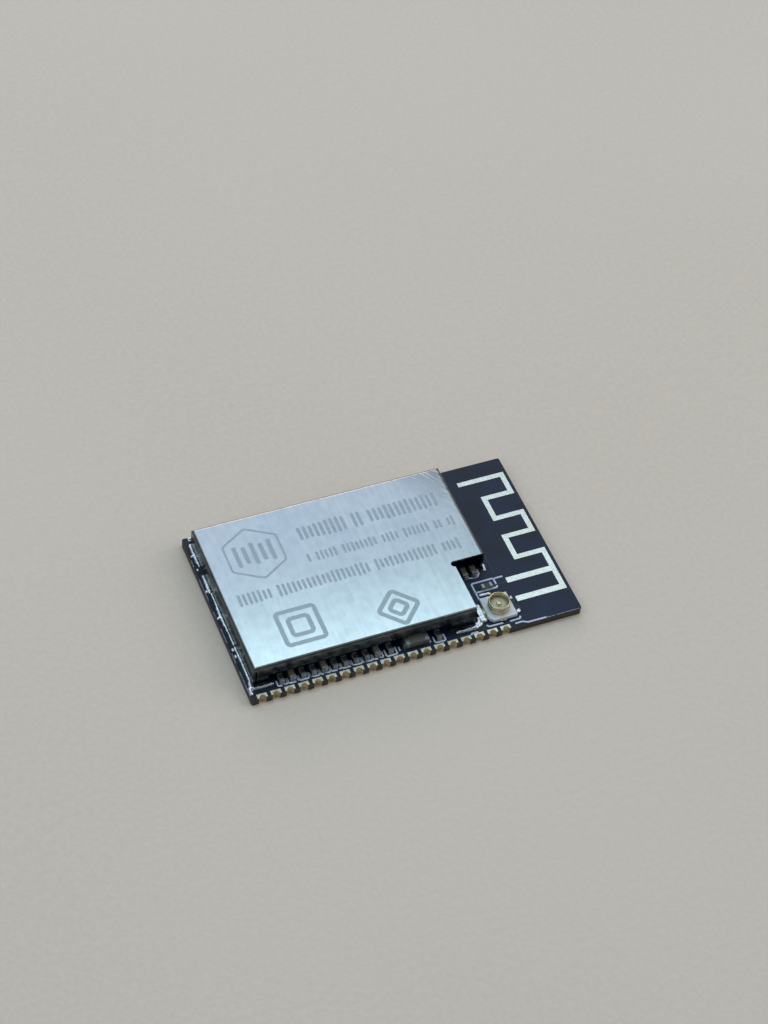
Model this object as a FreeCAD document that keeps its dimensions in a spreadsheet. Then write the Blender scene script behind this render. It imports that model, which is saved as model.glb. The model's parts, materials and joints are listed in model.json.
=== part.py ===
"""A castellated radio module, as a parametric FreeCAD document.

A thin laminate board carries plated half-holes along both long edges, a printed meander antenna
at its right end, a folded shield can with a notch in its near right corner, a small coaxial
connector in that notch and a row of chip parts along the near edge. The can covers the radio
chip, the audio codec, two memories, two crystals, an inductor and their small chip parts.

Frame: millimetres, origin under the board's centre on the plane that the module rests on,
+X along the long edge towards the antenna, +Y across the board away from the chip row, +Z up.
"""
import FreeCAD
import Part
import Sketcher
import math
import os

# Driving sizes in millimetres (counts are plain numbers): alias and value, group by group.
SIZES = {
    "board": (
        ("board_length", 31.25), ("board_width", 18.55), ("board_height", 0.8),
        ("board_corner", 0.2), ("copper", 0.05), ("mask", 0.03), ("mask_gap", 0.05),
    ),
    "edge terminals": (
        ("pin_count", 19), ("pin_pitch", 1.27), ("first_pin", 1.0), ("hole_radius", 0.3),
        ("plating", 0.03), ("pad_width", 0.92), ("pad_depth", 0.42),
    ),
    "underside pads": (
        ("ground_side", 6.0), ("test_radius", 0.5), ("test_pitch", 1.9), ("test_rows", 2),
        ("test_columns", 3), ("test_from_centre", 7.5),
    ),
    "antenna, as centre lines and one width": (
        ("trace", 0.49), ("antenna_right", 0.56), ("meander_span", 2.73), ("stub_row", 16.62),
        ("short_step", 2.22), ("long_step", 2.5), ("feed_row", 4.99), ("ground_row", 2.79),
        ("stub_span", 4.2), ("arm_width", 0.58),
    ),
    "shield can": (
        ("can_left_inset", 0.6), ("antenna_zone", 6.75), ("can_near_inset", 1.45),
        ("can_far_inset", 0.85), ("notch_length", 3.08), ("notch_width", 5.55),
        ("notch_relief", 0.3), ("sheet", 0.2), ("bend", 0.32), ("seam", 0.14),
        ("headroom", 0.23), ("left_foot", 1.4), ("right_foot", 2.4), ("wall_window", 0.9),
        ("foot_reach", 0.3), ("foot_tuck", 0.1), ("solder_rise", 0.3), ("solder_toe", 0.04),
        ("solder_break", 0.14), ("solder_count", 5),
    ),
    "chip parts, shared by every one": (
        ("chip_length", 1.0), ("chip_cap", 0.25), ("chip_round", 0.03), ("chip_wrap", 0.02),
        ("land_reach", 0.1), ("resistor_width", 0.46), ("resistor_height", 0.35),
        ("capacitor_width", 0.54), ("capacitor_height", 0.5),
    ),
    "chip row on the near edge": (
        ("row_count", 10), ("row_pitch", 0.983), ("row_from_can", 2.5), ("row_inset", 1.35),
        ("choke_gap", 1.35), ("choke_length", 2.2), ("choke_width", 1.2), ("choke_height", 0.7),
        ("choke_cap", 0.4), ("row_end_gap", 1.25), ("row_last_gap", 1.05),
    ),
    "coaxial connector": (
        ("coax_gap", 1.31), ("coax_near_inset", 1.0), ("coax_side", 2.6), ("coax_floor", 0.35),
        ("coax_corner", 0.35), ("ring_radius", 1.0), ("ring_wall", 0.16), ("ring_top", 1.23),
        ("groove_depth", 0.06), ("groove_low", 0.72), ("groove_high", 0.92), ("tab_sheet", 0.15),
        ("tab_reach", 0.45), ("tab_width", 1.8), ("signal_slot", 0.95), ("signal_width", 0.45),
        ("signal_reach", 0.16), ("pin_radius", 0.25), ("pin_foot", 0.7), ("pin_top", 0.95),
        ("coax_land", 0.28),
    ),
    "chip parts in the notch": (
        ("box_gap", 1.24), ("notch_tuck", 0.2), ("notch_chip_gap", 1.18), ("notch_chip_pitch", 0.9),
    ),
    "packages under the can": (
        ("solder_film", 0.03), ("radio_side", 6.0), ("radio_height", 0.85), ("radio_pins", 12),
        ("codec_side", 5.0), ("codec_height", 0.8), ("codec_pins", 10), ("lead_pitch", 0.4),
        ("lead_width", 0.2), ("lead_reach", 0.15), ("lead_length", 0.5), ("centre_pad", 0.62),
        ("package_round", 0.06), ("radio_from_right", 5.0), ("codec_from_left", 4.2),
        ("chips_from_far", 6.6),
    ),
    "memories": (
        ("memory_height", 1.75), ("memory_rows", 4), ("memory_pitch", 1.27), ("leg_width", 0.4),
        ("leg_sheet", 0.2), ("leg_foot", 0.6), ("standoff", 0.12), ("flash_body", 5.3),
        ("flash_across", 5.2), ("flash_span", 7.9), ("work_body", 4.9), ("work_across", 3.9),
        ("work_span", 6.0), ("work_drop", 0.2), ("memory_from_left", 11.4),
        ("flash_from_near", 4.6), ("work_from_far", 3.5),
    ),
    "crystals and inductor": (
        ("crystal_length", 3.2), ("crystal_width", 2.5), ("crystal_base", 0.45),
        ("crystal_lid", 0.25), ("lid_inset", 0.15), ("crystal_from_far", 1.75),
        ("inductor_length", 2.5), ("inductor_width", 2.0), ("inductor_height", 1.2),
        ("inductor_cap", 0.5), ("inductor_from_left", 3.4), ("inductor_from_near", 3.6),
    ),
    "small chip parts under the can": (
        ("inner_pitch", 1.5), ("inner_count", 4), ("mid_row", 7.3), ("mid_row_left", 8.9),
        ("side_column", 1.05), ("side_pitch", 2.0), ("side_from_far", 2.6), ("low_row", 1.3),
        ("low_row_left", 6.8),
    ),
}
DECIMALS = 6
OVERCUT = 0.5  # how far a cutting profile runs past the edge that it opens
CLOSE = 1e-6  # how far apart two places may be and still count as one

doc = FreeCAD.newDocument("radio_module")
dim = doc.addObject("Spreadsheet::Sheet", "dim")
subparts = []


def fill_sheet():
    """Write each size's name, value and alias to its own row of the sheet."""
    row = 1
    for group, sizes in SIZES.items():
        dim.set(f"A{row}", group)
        row += 1
        for alias, number in sizes:
            dim.set(f"A{row}", alias)
            dim.set(f"B{row}", str(number))
            dim.setAlias(f"B{row}", alias)
            row += 1
    doc.recompute()


def value(text):
    """The number that an expression on the sheet's sizes gives."""
    return float(dim.evalExpression(text))


# Levels, all as expressions on the sheet.
UNDERSIDE = "(dim.copper - dim.mask)"
LAMINATE = "(dim.board_height - 2 * dim.mask)"
LAMINATE_TOP = f"(dim.copper + {LAMINATE})"
FACE = f"({LAMINATE_TOP} + dim.mask)"
LAND = f"({LAMINATE_TOP} + dim.copper)"
SEAT = f"({LAND} + dim.solder_film)"
CAN_HEIGHT = "(dim.memory_height + dim.headroom + dim.sheet)"
CAN_TOP = f"({LAND} + {CAN_HEIGHT} - {UNDERSIDE})"

# Places on the board, as expressions on the sheet.
LEFT = "(-dim.board_length / 2)"
RIGHT = "(dim.board_length / 2)"
NEAR = "(-dim.board_width / 2)"
FAR = "(dim.board_width / 2)"
CAN_LEFT = f"({LEFT} + dim.can_left_inset)"
CAN_RIGHT = f"({RIGHT} - dim.antenna_zone)"
CAN_NEAR = f"({NEAR} + dim.can_near_inset)"
CAN_FAR = f"({FAR} - dim.can_far_inset)"
NOTCH_LEFT = f"({CAN_RIGHT} - dim.notch_length)"
NOTCH_FAR = f"({CAN_NEAR} + dim.notch_width)"
IN_LEFT = f"({CAN_LEFT} + dim.sheet)"
IN_RIGHT = f"({CAN_RIGHT} - dim.sheet)"
IN_NEAR = f"({CAN_NEAR} + dim.sheet)"
IN_FAR = f"({CAN_FAR} - dim.sheet)"
COAX_X = f"({NOTCH_LEFT} + dim.coax_gap + dim.coax_side / 2)"
COAX_Y = f"({NEAR} + dim.coax_near_inset + dim.coax_side / 2)"
ARM_LEFT = f"({COAX_X} + dim.coax_side / 2 + dim.tab_reach + dim.coax_land)"


def keep(item, label):
    """Name an object as a sub-part of the module."""
    item.Label = label
    subparts.append(item)
    return item


def origin_of(body, role):
    """One of a body's own origin planes or axes."""
    return next(item for item in body.Origin.OriginFeatures if item.Role == role)


def new_body(name):
    """A PartDesign body that may hold several separate solids."""
    body = doc.addObject("PartDesign::Body", name)
    body.AllowCompound = True
    return body


def sketch_on(body, role, offset):
    """A sketch on an origin plane of the body, moved along the plane's normal."""
    sketch = body.newObject("Sketcher::SketchObject", f"{body.Name}_sketch")
    sketch.AttachmentSupport = [(origin_of(body, role), "")]
    sketch.MapMode = "FlatFace"
    sketch.setExpression("AttachmentOffset.Base.z", offset)
    return sketch


def pin_point(sketch, geometry, point, place):
    """Tie one point of a sketch to a place given as two expressions."""
    for kind, text in zip(("DistanceX", "DistanceY"), place):
        rule = Sketcher.Constraint(kind, -1, 1, geometry, point, value(text))
        index = sketch.addConstraint(rule)
        sketch.setExpression(f"Constraints[{index}]", text)


def draw_outline(sketch, corners):
    """A closed outline of straight sides through corners given as expressions."""
    places = [FreeCAD.Vector(value(x), value(y), 0) for x, y in corners]
    first = sketch.GeometryCount
    for start, end in zip(places, places[1:] + places[:1]):
        sketch.addGeometry(Part.LineSegment(start, end), False)
    count = len(corners)
    for step in range(count):
        following = first + (step + 1) % count
        sketch.addConstraint(Sketcher.Constraint("Coincident", first + step, 2, following, 1))
    for step, corner in enumerate(corners):
        pin_point(sketch, first + step, 1, corner)


def draw_rectangle(sketch, low, high):
    """A rectangle between two opposite corners."""
    draw_outline(sketch, (low, (high[0], low[1]), high, (low[0], high[1])))


def draw_circle(sketch, centre, radius):
    """A circle whose centre and radius are expressions."""
    place = FreeCAD.Vector(value(centre[0]), value(centre[1]), 0)
    normal = FreeCAD.Vector(0, 0, 1)
    index = sketch.addGeometry(Part.Circle(place, normal, value(radius)), False)
    pin_point(sketch, index, 3, centre)
    rule = sketch.addConstraint(Sketcher.Constraint("Radius", index, value(radius)))
    sketch.setExpression(f"Constraints[{rule}]", radius)


def pad(body, profile, length, backwards=False):
    """Raise a profile into the body by a length."""
    feature = body.newObject("PartDesign::Pad", f"{body.Name}_pad")
    feature.Profile = profile
    feature.setExpression("Length", length)
    feature.Reversed = backwards
    doc.recompute()
    return feature


def cut(body, profile, depth):
    """Cut a profile upwards into the body, and make sure that it removed something."""
    before = body.Shape.Volume
    feature = body.newObject("PartDesign::Pocket", f"{body.Name}_pocket")
    feature.Profile = profile
    feature.setExpression("Length", depth)
    feature.Reversed = True
    doc.recompute()
    if not body.Shape.Volume < before:
        raise RuntimeError(f"{feature.Name} removed nothing")
    return feature


def repeat_along(body, features, axis, count, pitch):
    """Repeat features along one of the body's axes, and make the pattern the body's tip."""
    pattern = body.newObject("PartDesign::LinearPattern", f"{body.Name}_pattern")
    pattern.Originals = features
    pattern.Direction = (origin_of(body, axis), [""])
    pattern.Mode = "Extent"
    pattern.setExpression("Length", f"({count} - 1) * {pitch}")
    pattern.setExpression("Occurrences", count)
    body.Tip = pattern
    doc.recompute()
    return pattern


def edges_where(shape, wanted):
    """Names of the straight edges whose two ends pass the test."""
    names = []
    for index, edge in enumerate(shape.Edges, 1):
        ends = [vertex.Point for vertex in edge.Vertexes]
        if len(ends) == 2 and wanted(*ends):
            names.append(f"Edge{index}")
    return names


def round_edges(body, names, radius):
    """Fillet the named edges of the body's present shape."""
    fillet = body.newObject("PartDesign::Fillet", f"{body.Name}_fillet")
    fillet.Base = (body.Group[-2], names)
    fillet.setExpression("Radius", radius)
    doc.recompute()
    return fillet


def upright(start, end):
    """True for an edge that runs straight up."""
    same_x = math.isclose(start.x, end.x, abs_tol=CLOSE)
    return same_x and math.isclose(start.y, end.y, abs_tol=CLOSE)


def box(name, centre, base, sides):
    """A plain box about a centre, standing on a level; every size is an expression."""
    solid = doc.addObject("Part::Box", name)
    for side, text in zip(("Length", "Width", "Height"), sides):
        solid.setExpression(side, text)
    solid.setExpression("Placement.Base.x", f"{centre[0]} - ({sides[0]}) / 2")
    solid.setExpression("Placement.Base.y", f"{centre[1]} - ({sides[1]}) / 2")
    solid.setExpression("Placement.Base.z", base)
    return solid


def group(label, solids):
    """A sub-part that is several separate solids."""
    item = doc.addObject("Part::Compound", label)
    item.Links = solids
    return keep(item, label)


def rounded_block(name, centre, base, sides, radius):
    """A block with all its edges softened by a small radius."""
    body = new_body(name)
    profile = sketch_on(body, "XY_Plane", base)
    half = (f"({sides[0]}) / 2", f"({sides[1]}) / 2")
    low = (f"{centre[0]} - {half[0]}", f"{centre[1]} - {half[1]}")
    high = (f"{centre[0]} + {half[0]}", f"{centre[1]} + {half[1]}")
    draw_rectangle(profile, low, high)
    block = pad(body, profile, sides[2])
    fillet = body.newObject("PartDesign::Fillet", f"{name}_fillet")
    fillet.Base = (block, ["Edge1"])
    fillet.UseAllEdges = True
    fillet.setExpression("Radius", radius)
    return body


# --- Board ----------------------------------------------------------------------------------

def board_outline(body, base, height):
    """The board's rectangle with rounded corners, as a plate of the given height."""
    profile = sketch_on(body, "XY_Plane", base)
    draw_rectangle(profile, (LEFT, NEAR), (RIGHT, FAR))
    plate = pad(body, profile, height)
    round_edges(body, edges_where(plate.Shape, upright), "dim.board_corner")


def first_pin_x():
    """The middle of the first edge terminal."""
    return f"({LEFT} + dim.first_pin)"


def board_laminate():
    """The glass-epoxy core, drilled through at every edge terminal and cut along its edges."""
    body = new_body("board_laminate")
    board_outline(body, "dim.copper", LAMINATE)
    for edge in (NEAR, FAR):
        profile = sketch_on(body, "XY_Plane", "dim.copper")
        draw_circle(profile, (first_pin_x(), edge), "dim.hole_radius + dim.plating")
        drilled = cut(body, profile, LAMINATE)
        repeat_along(body, [drilled], "X_Axis", "dim.pin_count", "dim.pin_pitch")
    keep(body, "board_laminate")


def mask_plate(name, base):
    """Solder mask over one face, open at each edge terminal's pad."""
    body = new_body(name)
    board_outline(body, base, "dim.mask")
    reach = "(dim.pad_width / 2 + dim.mask_gap)"
    depth = "(dim.pad_depth + dim.mask_gap)"
    x_low, x_high = f"{first_pin_x()} - {reach}", f"{first_pin_x()} + {reach}"
    spans = ((f"{NEAR} - {OVERCUT}", f"{NEAR} + {depth}"),
             (f"{FAR} - {depth}", f"{FAR} + {OVERCUT}"))
    for y_low, y_high in spans:
        profile = sketch_on(body, "XY_Plane", base)
        draw_rectangle(profile, (x_low, y_low), (x_high, y_high))
        opening = cut(body, profile, "dim.mask")
        repeat_along(body, [opening], "X_Axis", "dim.pin_count", "dim.pin_pitch")
    return body


def edge_terminals(label, edge, inward):
    """A row of plated half-holes: each a half barrel with a pad on either face of the board."""
    body = new_body(label)
    centre = first_pin_x()
    half = "dim.pad_width / 2"
    inner = f"{edge} + {inward} * dim.pad_depth"
    low_y, high_y = (edge, inner) if inward > 0 else (inner, edge)

    profile = sketch_on(body, "XY_Plane", "0")
    draw_rectangle(profile, (f"{centre} - {half}", low_y), (f"{centre} + {half}", high_y))
    block = pad(body, profile, f"{LAMINATE} + 2 * dim.copper")

    # Everything between the two pads goes, apart from the barrel's own wall.
    waist = sketch_on(body, "XY_Plane", "dim.copper")
    margin = "(dim.pad_width / 2 + dim.plating)"
    past = f"(dim.pad_depth + {OVERCUT})"
    draw_rectangle(waist, (f"{centre} - {margin}", f"{edge} - {past}"),
                   (f"{centre} + {margin}", f"{edge} + {past}"))
    draw_circle(waist, (centre, edge), "dim.hole_radius + dim.plating")
    hollow = cut(body, waist, LAMINATE)

    bore = sketch_on(body, "XY_Plane", "0")
    draw_circle(bore, (centre, edge), "dim.hole_radius")
    half_hole = cut(body, bore, f"{LAMINATE} + 2 * dim.copper")
    features = [block, hollow, half_hole]
    repeat_along(body, features, "X_Axis", "dim.pin_count", "dim.pin_pitch")
    keep(body, label)


class Openings:
    """The plates of copper on one face, and the openings that the solder mask leaves for them."""

    def __init__(self, level, opening_level):
        self.level = level
        self.opening_level = opening_level
        self.tools = []

    def land(self, name, centre, sides):
        """A rectangular copper land and the mask opening about it."""
        self.clear(name, centre, sides)
        return box(name, centre, self.level, (*sides, "dim.copper"))

    def clear(self, name, centre, sides):
        """A mask opening alone, a gap larger than the given rectangle all round."""
        wider = [f"({side} + 2 * dim.mask_gap)" for side in sides]
        tool = box(f"{name}_opening", centre, self.opening_level, (*wider, "dim.mask"))
        self.tools.append(tool)

    def cut_from(self, plate, label):
        """The finished mask: the plate less all of its openings."""
        tool = doc.addObject("Part::Compound", f"{label}_openings")
        tool.Links = self.tools
        mask = doc.addObject("Part::Cut", label)
        mask.Base = plate
        mask.Tool = tool
        return keep(mask, label)


top = Openings(LAMINATE_TOP, LAMINATE_TOP)
bottom = Openings("0", UNDERSIDE)
outer_lands = []
inner_lands = []


def antenna_trace():
    """The meander, its feed arm and its ground arm, in one layer of bare copper."""
    right = f"({RIGHT} - dim.antenna_right)"
    left = f"({right} - dim.meander_span)"
    rows = [f"({NEAR} + dim.stub_row)"]
    for step in ("short", "long", "short", "long"):
        rows.append(f"({rows[-1]} - dim.{step}_step)")
    feed = f"({NEAR} + dim.feed_row)"
    ground = f"({NEAR} + dim.ground_row)"
    columns = ((right, rows[0], rows[1]), (left, rows[1], rows[2]), (right, rows[2], rows[3]),
               (left, rows[3], rows[4]), (right, rows[4], ground))
    strips = []
    for number, (x, high, low) in enumerate(columns, 1):
        sides = ("dim.trace", f"({high} - {low} + dim.trace)")
        strips.append(top.land(f"antenna_column_{number}", (x, f"({high} + {low}) / 2"), sides))
    spans = [(rows[0], f"({right} - dim.stub_span)", "dim.trace")]
    spans += [(row, left, "dim.trace") for row in rows[1:]]
    spans += [(feed, ARM_LEFT, "dim.arm_width"), (ground, ARM_LEFT, "dim.arm_width")]
    for number, (y, start, width) in enumerate(spans, 1):
        end = f"({right} + dim.trace / 2)"
        if start != ARM_LEFT:
            start = f"({start} - dim.trace / 2)"
        centre = (f"({start} + {end}) / 2", y)
        strips.append(top.land(f"antenna_row_{number}", centre, (f"({end} - {start})", width)))
    trace = doc.addObject("Part::MultiFuse", "antenna_trace")
    trace.Shapes = strips
    trace.Refine = True
    keep(trace, "antenna_trace")


def underside_pads():
    """The heat-spreading ground pad under the radio chip and a small grid of test pads."""
    sides = ("dim.ground_side", "dim.ground_side")
    pad_plate = bottom.land("underside_ground_pad", radio_place(), sides)
    keep(pad_plate, "underside_ground_pad")
    discs = []
    for row in range(int(value("dim.test_rows"))):
        for column in range(int(value("dim.test_columns"))):
            x = f"({column} * dim.test_pitch - dim.test_from_centre)"
            y = f"(({row} - (dim.test_rows - 1) / 2) * dim.test_pitch)"
            name = f"test_pad_{row + 1}_{column + 1}"
            disc = doc.addObject("Part::Cylinder", name)
            disc.setExpression("Radius", "dim.test_radius")
            disc.setExpression("Height", "dim.copper")
            disc.setExpression("Placement.Base.x", x)
            disc.setExpression("Placement.Base.y", y)
            discs.append(disc)
            hole = doc.addObject("Part::Cylinder", f"{name}_opening")
            hole.setExpression("Radius", "dim.test_radius + dim.mask_gap")
            hole.setExpression("Height", "dim.mask")
            hole.setExpression("Placement.Base.x", x)
            hole.setExpression("Placement.Base.y", y)
            hole.setExpression("Placement.Base.z", UNDERSIDE)
            bottom.tools.append(hole)
    group("underside_test_pads", discs)


# --- Shield can -----------------------------------------------------------------------------

def shield_can():
    """One folded sheet: a lid with four walls, cut away at the notch, with open corner seams."""
    body = new_body("shield_can")
    height = f"({CAN_TOP} - {LAND})"
    outer = sketch_on(body, "XY_Plane", LAND)
    draw_outline(outer, ((CAN_LEFT, CAN_NEAR), (NOTCH_LEFT, CAN_NEAR), (NOTCH_LEFT, NOTCH_FAR),
                         (CAN_RIGHT, NOTCH_FAR), (CAN_RIGHT, CAN_FAR), (CAN_LEFT, CAN_FAR)))
    pad(body, outer, height)
    walls_x = (value(CAN_LEFT), value(CAN_RIGHT))
    walls_y = (value(CAN_NEAR), value(CAN_FAR))
    round_edges(body, bend_edges(body.Shape, walls_x, walls_y, value(CAN_TOP)), "dim.bend")

    # The hollow runs out past both sides of the notch, which have no wall.
    inner = sketch_on(body, "XY_Plane", LAND)
    past_x, past_y = f"{NOTCH_LEFT} + {OVERCUT}", f"{NOTCH_FAR} - {OVERCUT}"
    draw_outline(inner, ((IN_LEFT, IN_NEAR), (past_x, IN_NEAR), (past_x, past_y),
                         (IN_RIGHT, past_y), (IN_RIGHT, IN_FAR), (IN_LEFT, IN_FAR)))
    cut(body, inner, f"{height} - dim.sheet")
    walls_x = (value(IN_LEFT), value(IN_RIGHT))
    walls_y = (value(IN_NEAR), value(IN_FAR))
    ceiling = value(f"{CAN_TOP} - dim.sheet")
    edges = bend_edges(body.Shape, walls_x, walls_y, ceiling)
    round_edges(body, edges, "dim.bend - dim.sheet")

    # The near and far walls end short of the side walls, which leaves a seam at each corner.
    seams = sketch_on(body, "XY_Plane", LAND)
    near_span = (f"{CAN_NEAR} - {OVERCUT}", IN_NEAR)
    far_span = (IN_FAR, f"{CAN_FAR} + {OVERCUT}")
    left_seam = (IN_LEFT, f"{IN_LEFT} + dim.seam")
    right_seam = (f"{IN_RIGHT} - dim.seam", IN_RIGHT)
    corners = ((left_seam, near_span), (left_seam, far_span), (right_seam, far_span))
    for (x_low, x_high), (y_low, y_high) in corners:
        draw_rectangle(seams, (x_low, y_low), (x_high, y_high))
    cut(body, seams, f"{height} - dim.bend")

    # Between its two feet the near wall stops above the chip parts that pass under it.
    window = sketch_on(body, "XY_Plane", LAND)
    draw_rectangle(window, (f"{CAN_LEFT} + dim.left_foot", f"{CAN_NEAR} - {OVERCUT}"),
                   (f"{NOTCH_LEFT} - dim.right_foot", f"{IN_NEAR} + {OVERCUT / 2}"))
    cut(body, window, "dim.wall_window")

    relief = sketch_on(body, "XY_Plane", LAND)
    draw_circle(relief, (NOTCH_LEFT, f"{NOTCH_FAR} - dim.notch_relief"), "dim.notch_relief")
    cut(body, relief, height)
    keep(body, "shield_can")


def bend_edges(shape, walls_x, walls_y, level):
    """The level edges that lie in one of the wall planes."""
    def wanted(start, end):
        ends = (start, end)
        if not all(math.isclose(point.z, level, abs_tol=CLOSE) for point in ends):
            return False
        in_x = any(all(math.isclose(p.x, x, abs_tol=CLOSE) for p in ends) for x in walls_x)
        in_y = any(all(math.isclose(p.y, y, abs_tol=CLOSE) for p in ends) for y in walls_y)
        return in_x or in_y
    return edges_where(shape, wanted)


def shield_lands():
    """The ground strips that the can's walls stand on."""
    across = "(dim.foot_reach + dim.sheet + dim.foot_tuck)"
    shift = "(dim.foot_reach - dim.foot_tuck) / 2"
    middle = "dim.sheet / 2"
    long_y = f"({CAN_FAR} - {CAN_NEAR})"
    right_y = f"({CAN_FAR} - {NOTCH_FAR})"
    left_x = f"({CAN_LEFT} + {middle} - {shift})"
    right_x = f"({CAN_RIGHT} - {middle} + {shift})"
    near_y = f"({CAN_NEAR} + {middle} - {shift})"
    far_y = f"({CAN_FAR} - {middle} + {shift})"
    inner_x = f"({CAN_LEFT} + dim.sheet + dim.foot_tuck)"
    foot_x = f"(dim.left_foot - dim.sheet - dim.foot_tuck)"
    far_x = f"({CAN_RIGHT} - {CAN_LEFT} - 2 * dim.sheet - 2 * dim.foot_tuck)"
    strips = [
        top.land("left_strip", (left_x, f"({CAN_NEAR} + {CAN_FAR}) / 2"), (across, long_y)),
        top.land("right_strip", (right_x, f"({NOTCH_FAR} + {CAN_FAR}) / 2"), (across, right_y)),
        top.land("near_left_strip", (f"({inner_x} + {foot_x} / 2)", near_y), (foot_x, across)),
        top.land("near_right_strip", (f"({NOTCH_LEFT} - dim.right_foot / 2)", near_y),
                 ("dim.right_foot", across)),
        top.land("far_strip", (f"({CAN_LEFT} + {CAN_RIGHT}) / 2", far_y), (far_x, across)),
    ]
    fused = doc.addObject("Part::MultiFuse", "shield_lands")
    fused.Shapes = strips
    fused.Refine = True
    keep(fused, "shield_lands")


def fillet_of_solder(name, corner, turn, length, reach, rise):
    """A wedge of solder: full height against its wall, thin at its toe, turned about Z."""
    wedge = doc.addObject("Part::Wedge", name)
    wedge.Placement = FreeCAD.Placement(FreeCAD.Vector(),
                                        FreeCAD.Rotation(FreeCAD.Vector(0, 0, 1), turn))
    sizes = {"Xmin": "0", "Ymin": "0", "Zmin": "0", "X2min": "0", "Z2min": "0",
             "Xmax": length, "Ymax": reach, "Zmax": rise, "X2max": length,
             "Z2max": "dim.solder_toe"}
    for prop, text in sizes.items():
        wedge.setExpression(prop, text)
    for axis, text in zip("xyz", (*corner, LAND)):
        wedge.setExpression(f"Placement.Base.{axis}", text)
    return wedge


OUT_LEFT, OUT_NEAR, OUT_RIGHT = 90, 180, -90  # turns that point a wedge's toe away from a wall


def shield_solder():
    """Solder along the left wall in separate runs, at the near feet and at the right wall."""
    reach, rise = "(dim.foot_reach - dim.mask_gap)", "dim.solder_rise"
    pitch = f"(({CAN_FAR} - {CAN_NEAR}) / dim.solder_count)"
    runs = []
    for number in range(int(value("dim.solder_count"))):
        start = f"({CAN_NEAR} + {number} * {pitch})"
        length = f"({pitch} - dim.solder_break)"
        name = f"left_solder_{number + 1}"
        runs.append(fillet_of_solder(name, (CAN_LEFT, start), OUT_LEFT, length, reach, rise))
    foot = "(dim.left_foot - dim.sheet - dim.seam)"
    runs.append(fillet_of_solder("near_left_solder", (f"{CAN_LEFT} + dim.left_foot", CAN_NEAR),
                                 OUT_NEAR, foot, reach, rise))
    runs.append(fillet_of_solder("near_right_solder", (NOTCH_LEFT, CAN_NEAR), OUT_NEAR,
                                 "dim.right_foot", reach, rise))
    side = f"({CAN_FAR} - {NOTCH_FAR})"
    runs.append(fillet_of_solder("right_solder", (CAN_RIGHT, CAN_FAR), OUT_RIGHT, side, reach,
                                 rise))
    group("shield_solder", runs)


# --- Chip parts -----------------------------------------------------------------------------

def chip(name, centre, sides, cap, turned=False):
    """A ceramic chip part on its lands: the body, its two end caps and its two lands.

    The caps wrap a little proud of the body. A chip lies along X, or along Y when turned.
    """
    length, width, height = sides
    body_length = f"({length} - 2 * {cap})"
    slim = f"({width} - 2 * dim.chip_wrap)"
    low = f"({height} - 2 * dim.chip_wrap)"

    def laid(along, across):
        return (across, along) if turned else (along, across)

    base = f"({LAND} + dim.chip_wrap)"
    ceramic = rounded_block(name, centre, base, (*laid(body_length, slim), low),
                            "dim.chip_round")
    caps, lands = [], []
    for side, sign in (("low", "-"), ("high", "+")):
        out = f"{sign} ({length} - {cap}) / 2"
        place = [f"({middle} {step})" for middle, step in zip(centre, laid(out, ""))]
        cap_name = f"{name}_{side}_cap"
        caps.append(rounded_block(cap_name, place, LAND, (*laid(cap, width), height),
                                  "dim.chip_round"))
        out = f"{sign} ({length} - {cap} + dim.land_reach) / 2"
        place = [f"({middle} {step})" for middle, step in zip(centre, laid(out, ""))]
        span = f"({cap} + dim.land_reach)"
        lands.append(top.land(f"{name}_{side}_land", place, laid(span, width)))
    return ceramic, caps, lands


RESISTOR = ("dim.chip_length", "dim.resistor_width", "dim.resistor_height")
CAPACITOR = ("dim.chip_length", "dim.capacitor_width", "dim.capacitor_height")
CHOKE = ("dim.choke_length", "dim.choke_width", "dim.choke_height")
ROW_CAPACITORS = (2, 5, 10)  # numbers, from the left, of the wider parts in the row


def row_place(number):
    """The middle of a chip part of the evenly spaced row on the near edge."""
    x = f"({CAN_LEFT} + dim.row_from_can + {number - 1} * dim.row_pitch)"
    return x, f"({NEAR} + dim.row_inset)"


def near_row():
    """The chip parts along the near edge, half of each under the can's wall."""
    caps = {"resistor": [], "capacitor": []}
    lands = []
    for number in range(1, int(value("dim.row_count")) + 1):
        kind = "capacitor" if number in ROW_CAPACITORS else "resistor"
        sides = CAPACITOR if kind == "capacitor" else RESISTOR
        label = f"row_{kind}_{number:02d}"
        ceramic, ends, plates = chip(label, row_place(number), sides, "dim.chip_cap", True)
        keep(ceramic, label)
        caps[kind] += ends
        lands += plates
    last_x, y = row_place(int(value("dim.row_count")))
    extra_x = f"({last_x} + dim.row_end_gap)"
    choke_x = f"({extra_x} + dim.choke_gap + dim.choke_length / 2)"
    final_x = f"({choke_x} + dim.choke_length / 2 + dim.row_last_gap)"
    for label, x in (("row_resistor_11", extra_x), ("row_resistor_12", final_x)):
        ceramic, ends, plates = chip(label, (x, y), RESISTOR, "dim.chip_cap", True)
        keep(ceramic, label)
        caps["resistor"] += ends
        lands += plates
    ceramic, ends, plates = chip("row_choke", (choke_x, y), CHOKE, "dim.choke_cap")
    keep(ceramic, "row_choke")
    lands += plates
    group("row_resistor_caps", caps["resistor"])
    group("row_capacitor_caps", caps["capacitor"])
    group("row_choke_caps", ends)
    outer_lands.extend(lands)


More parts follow.
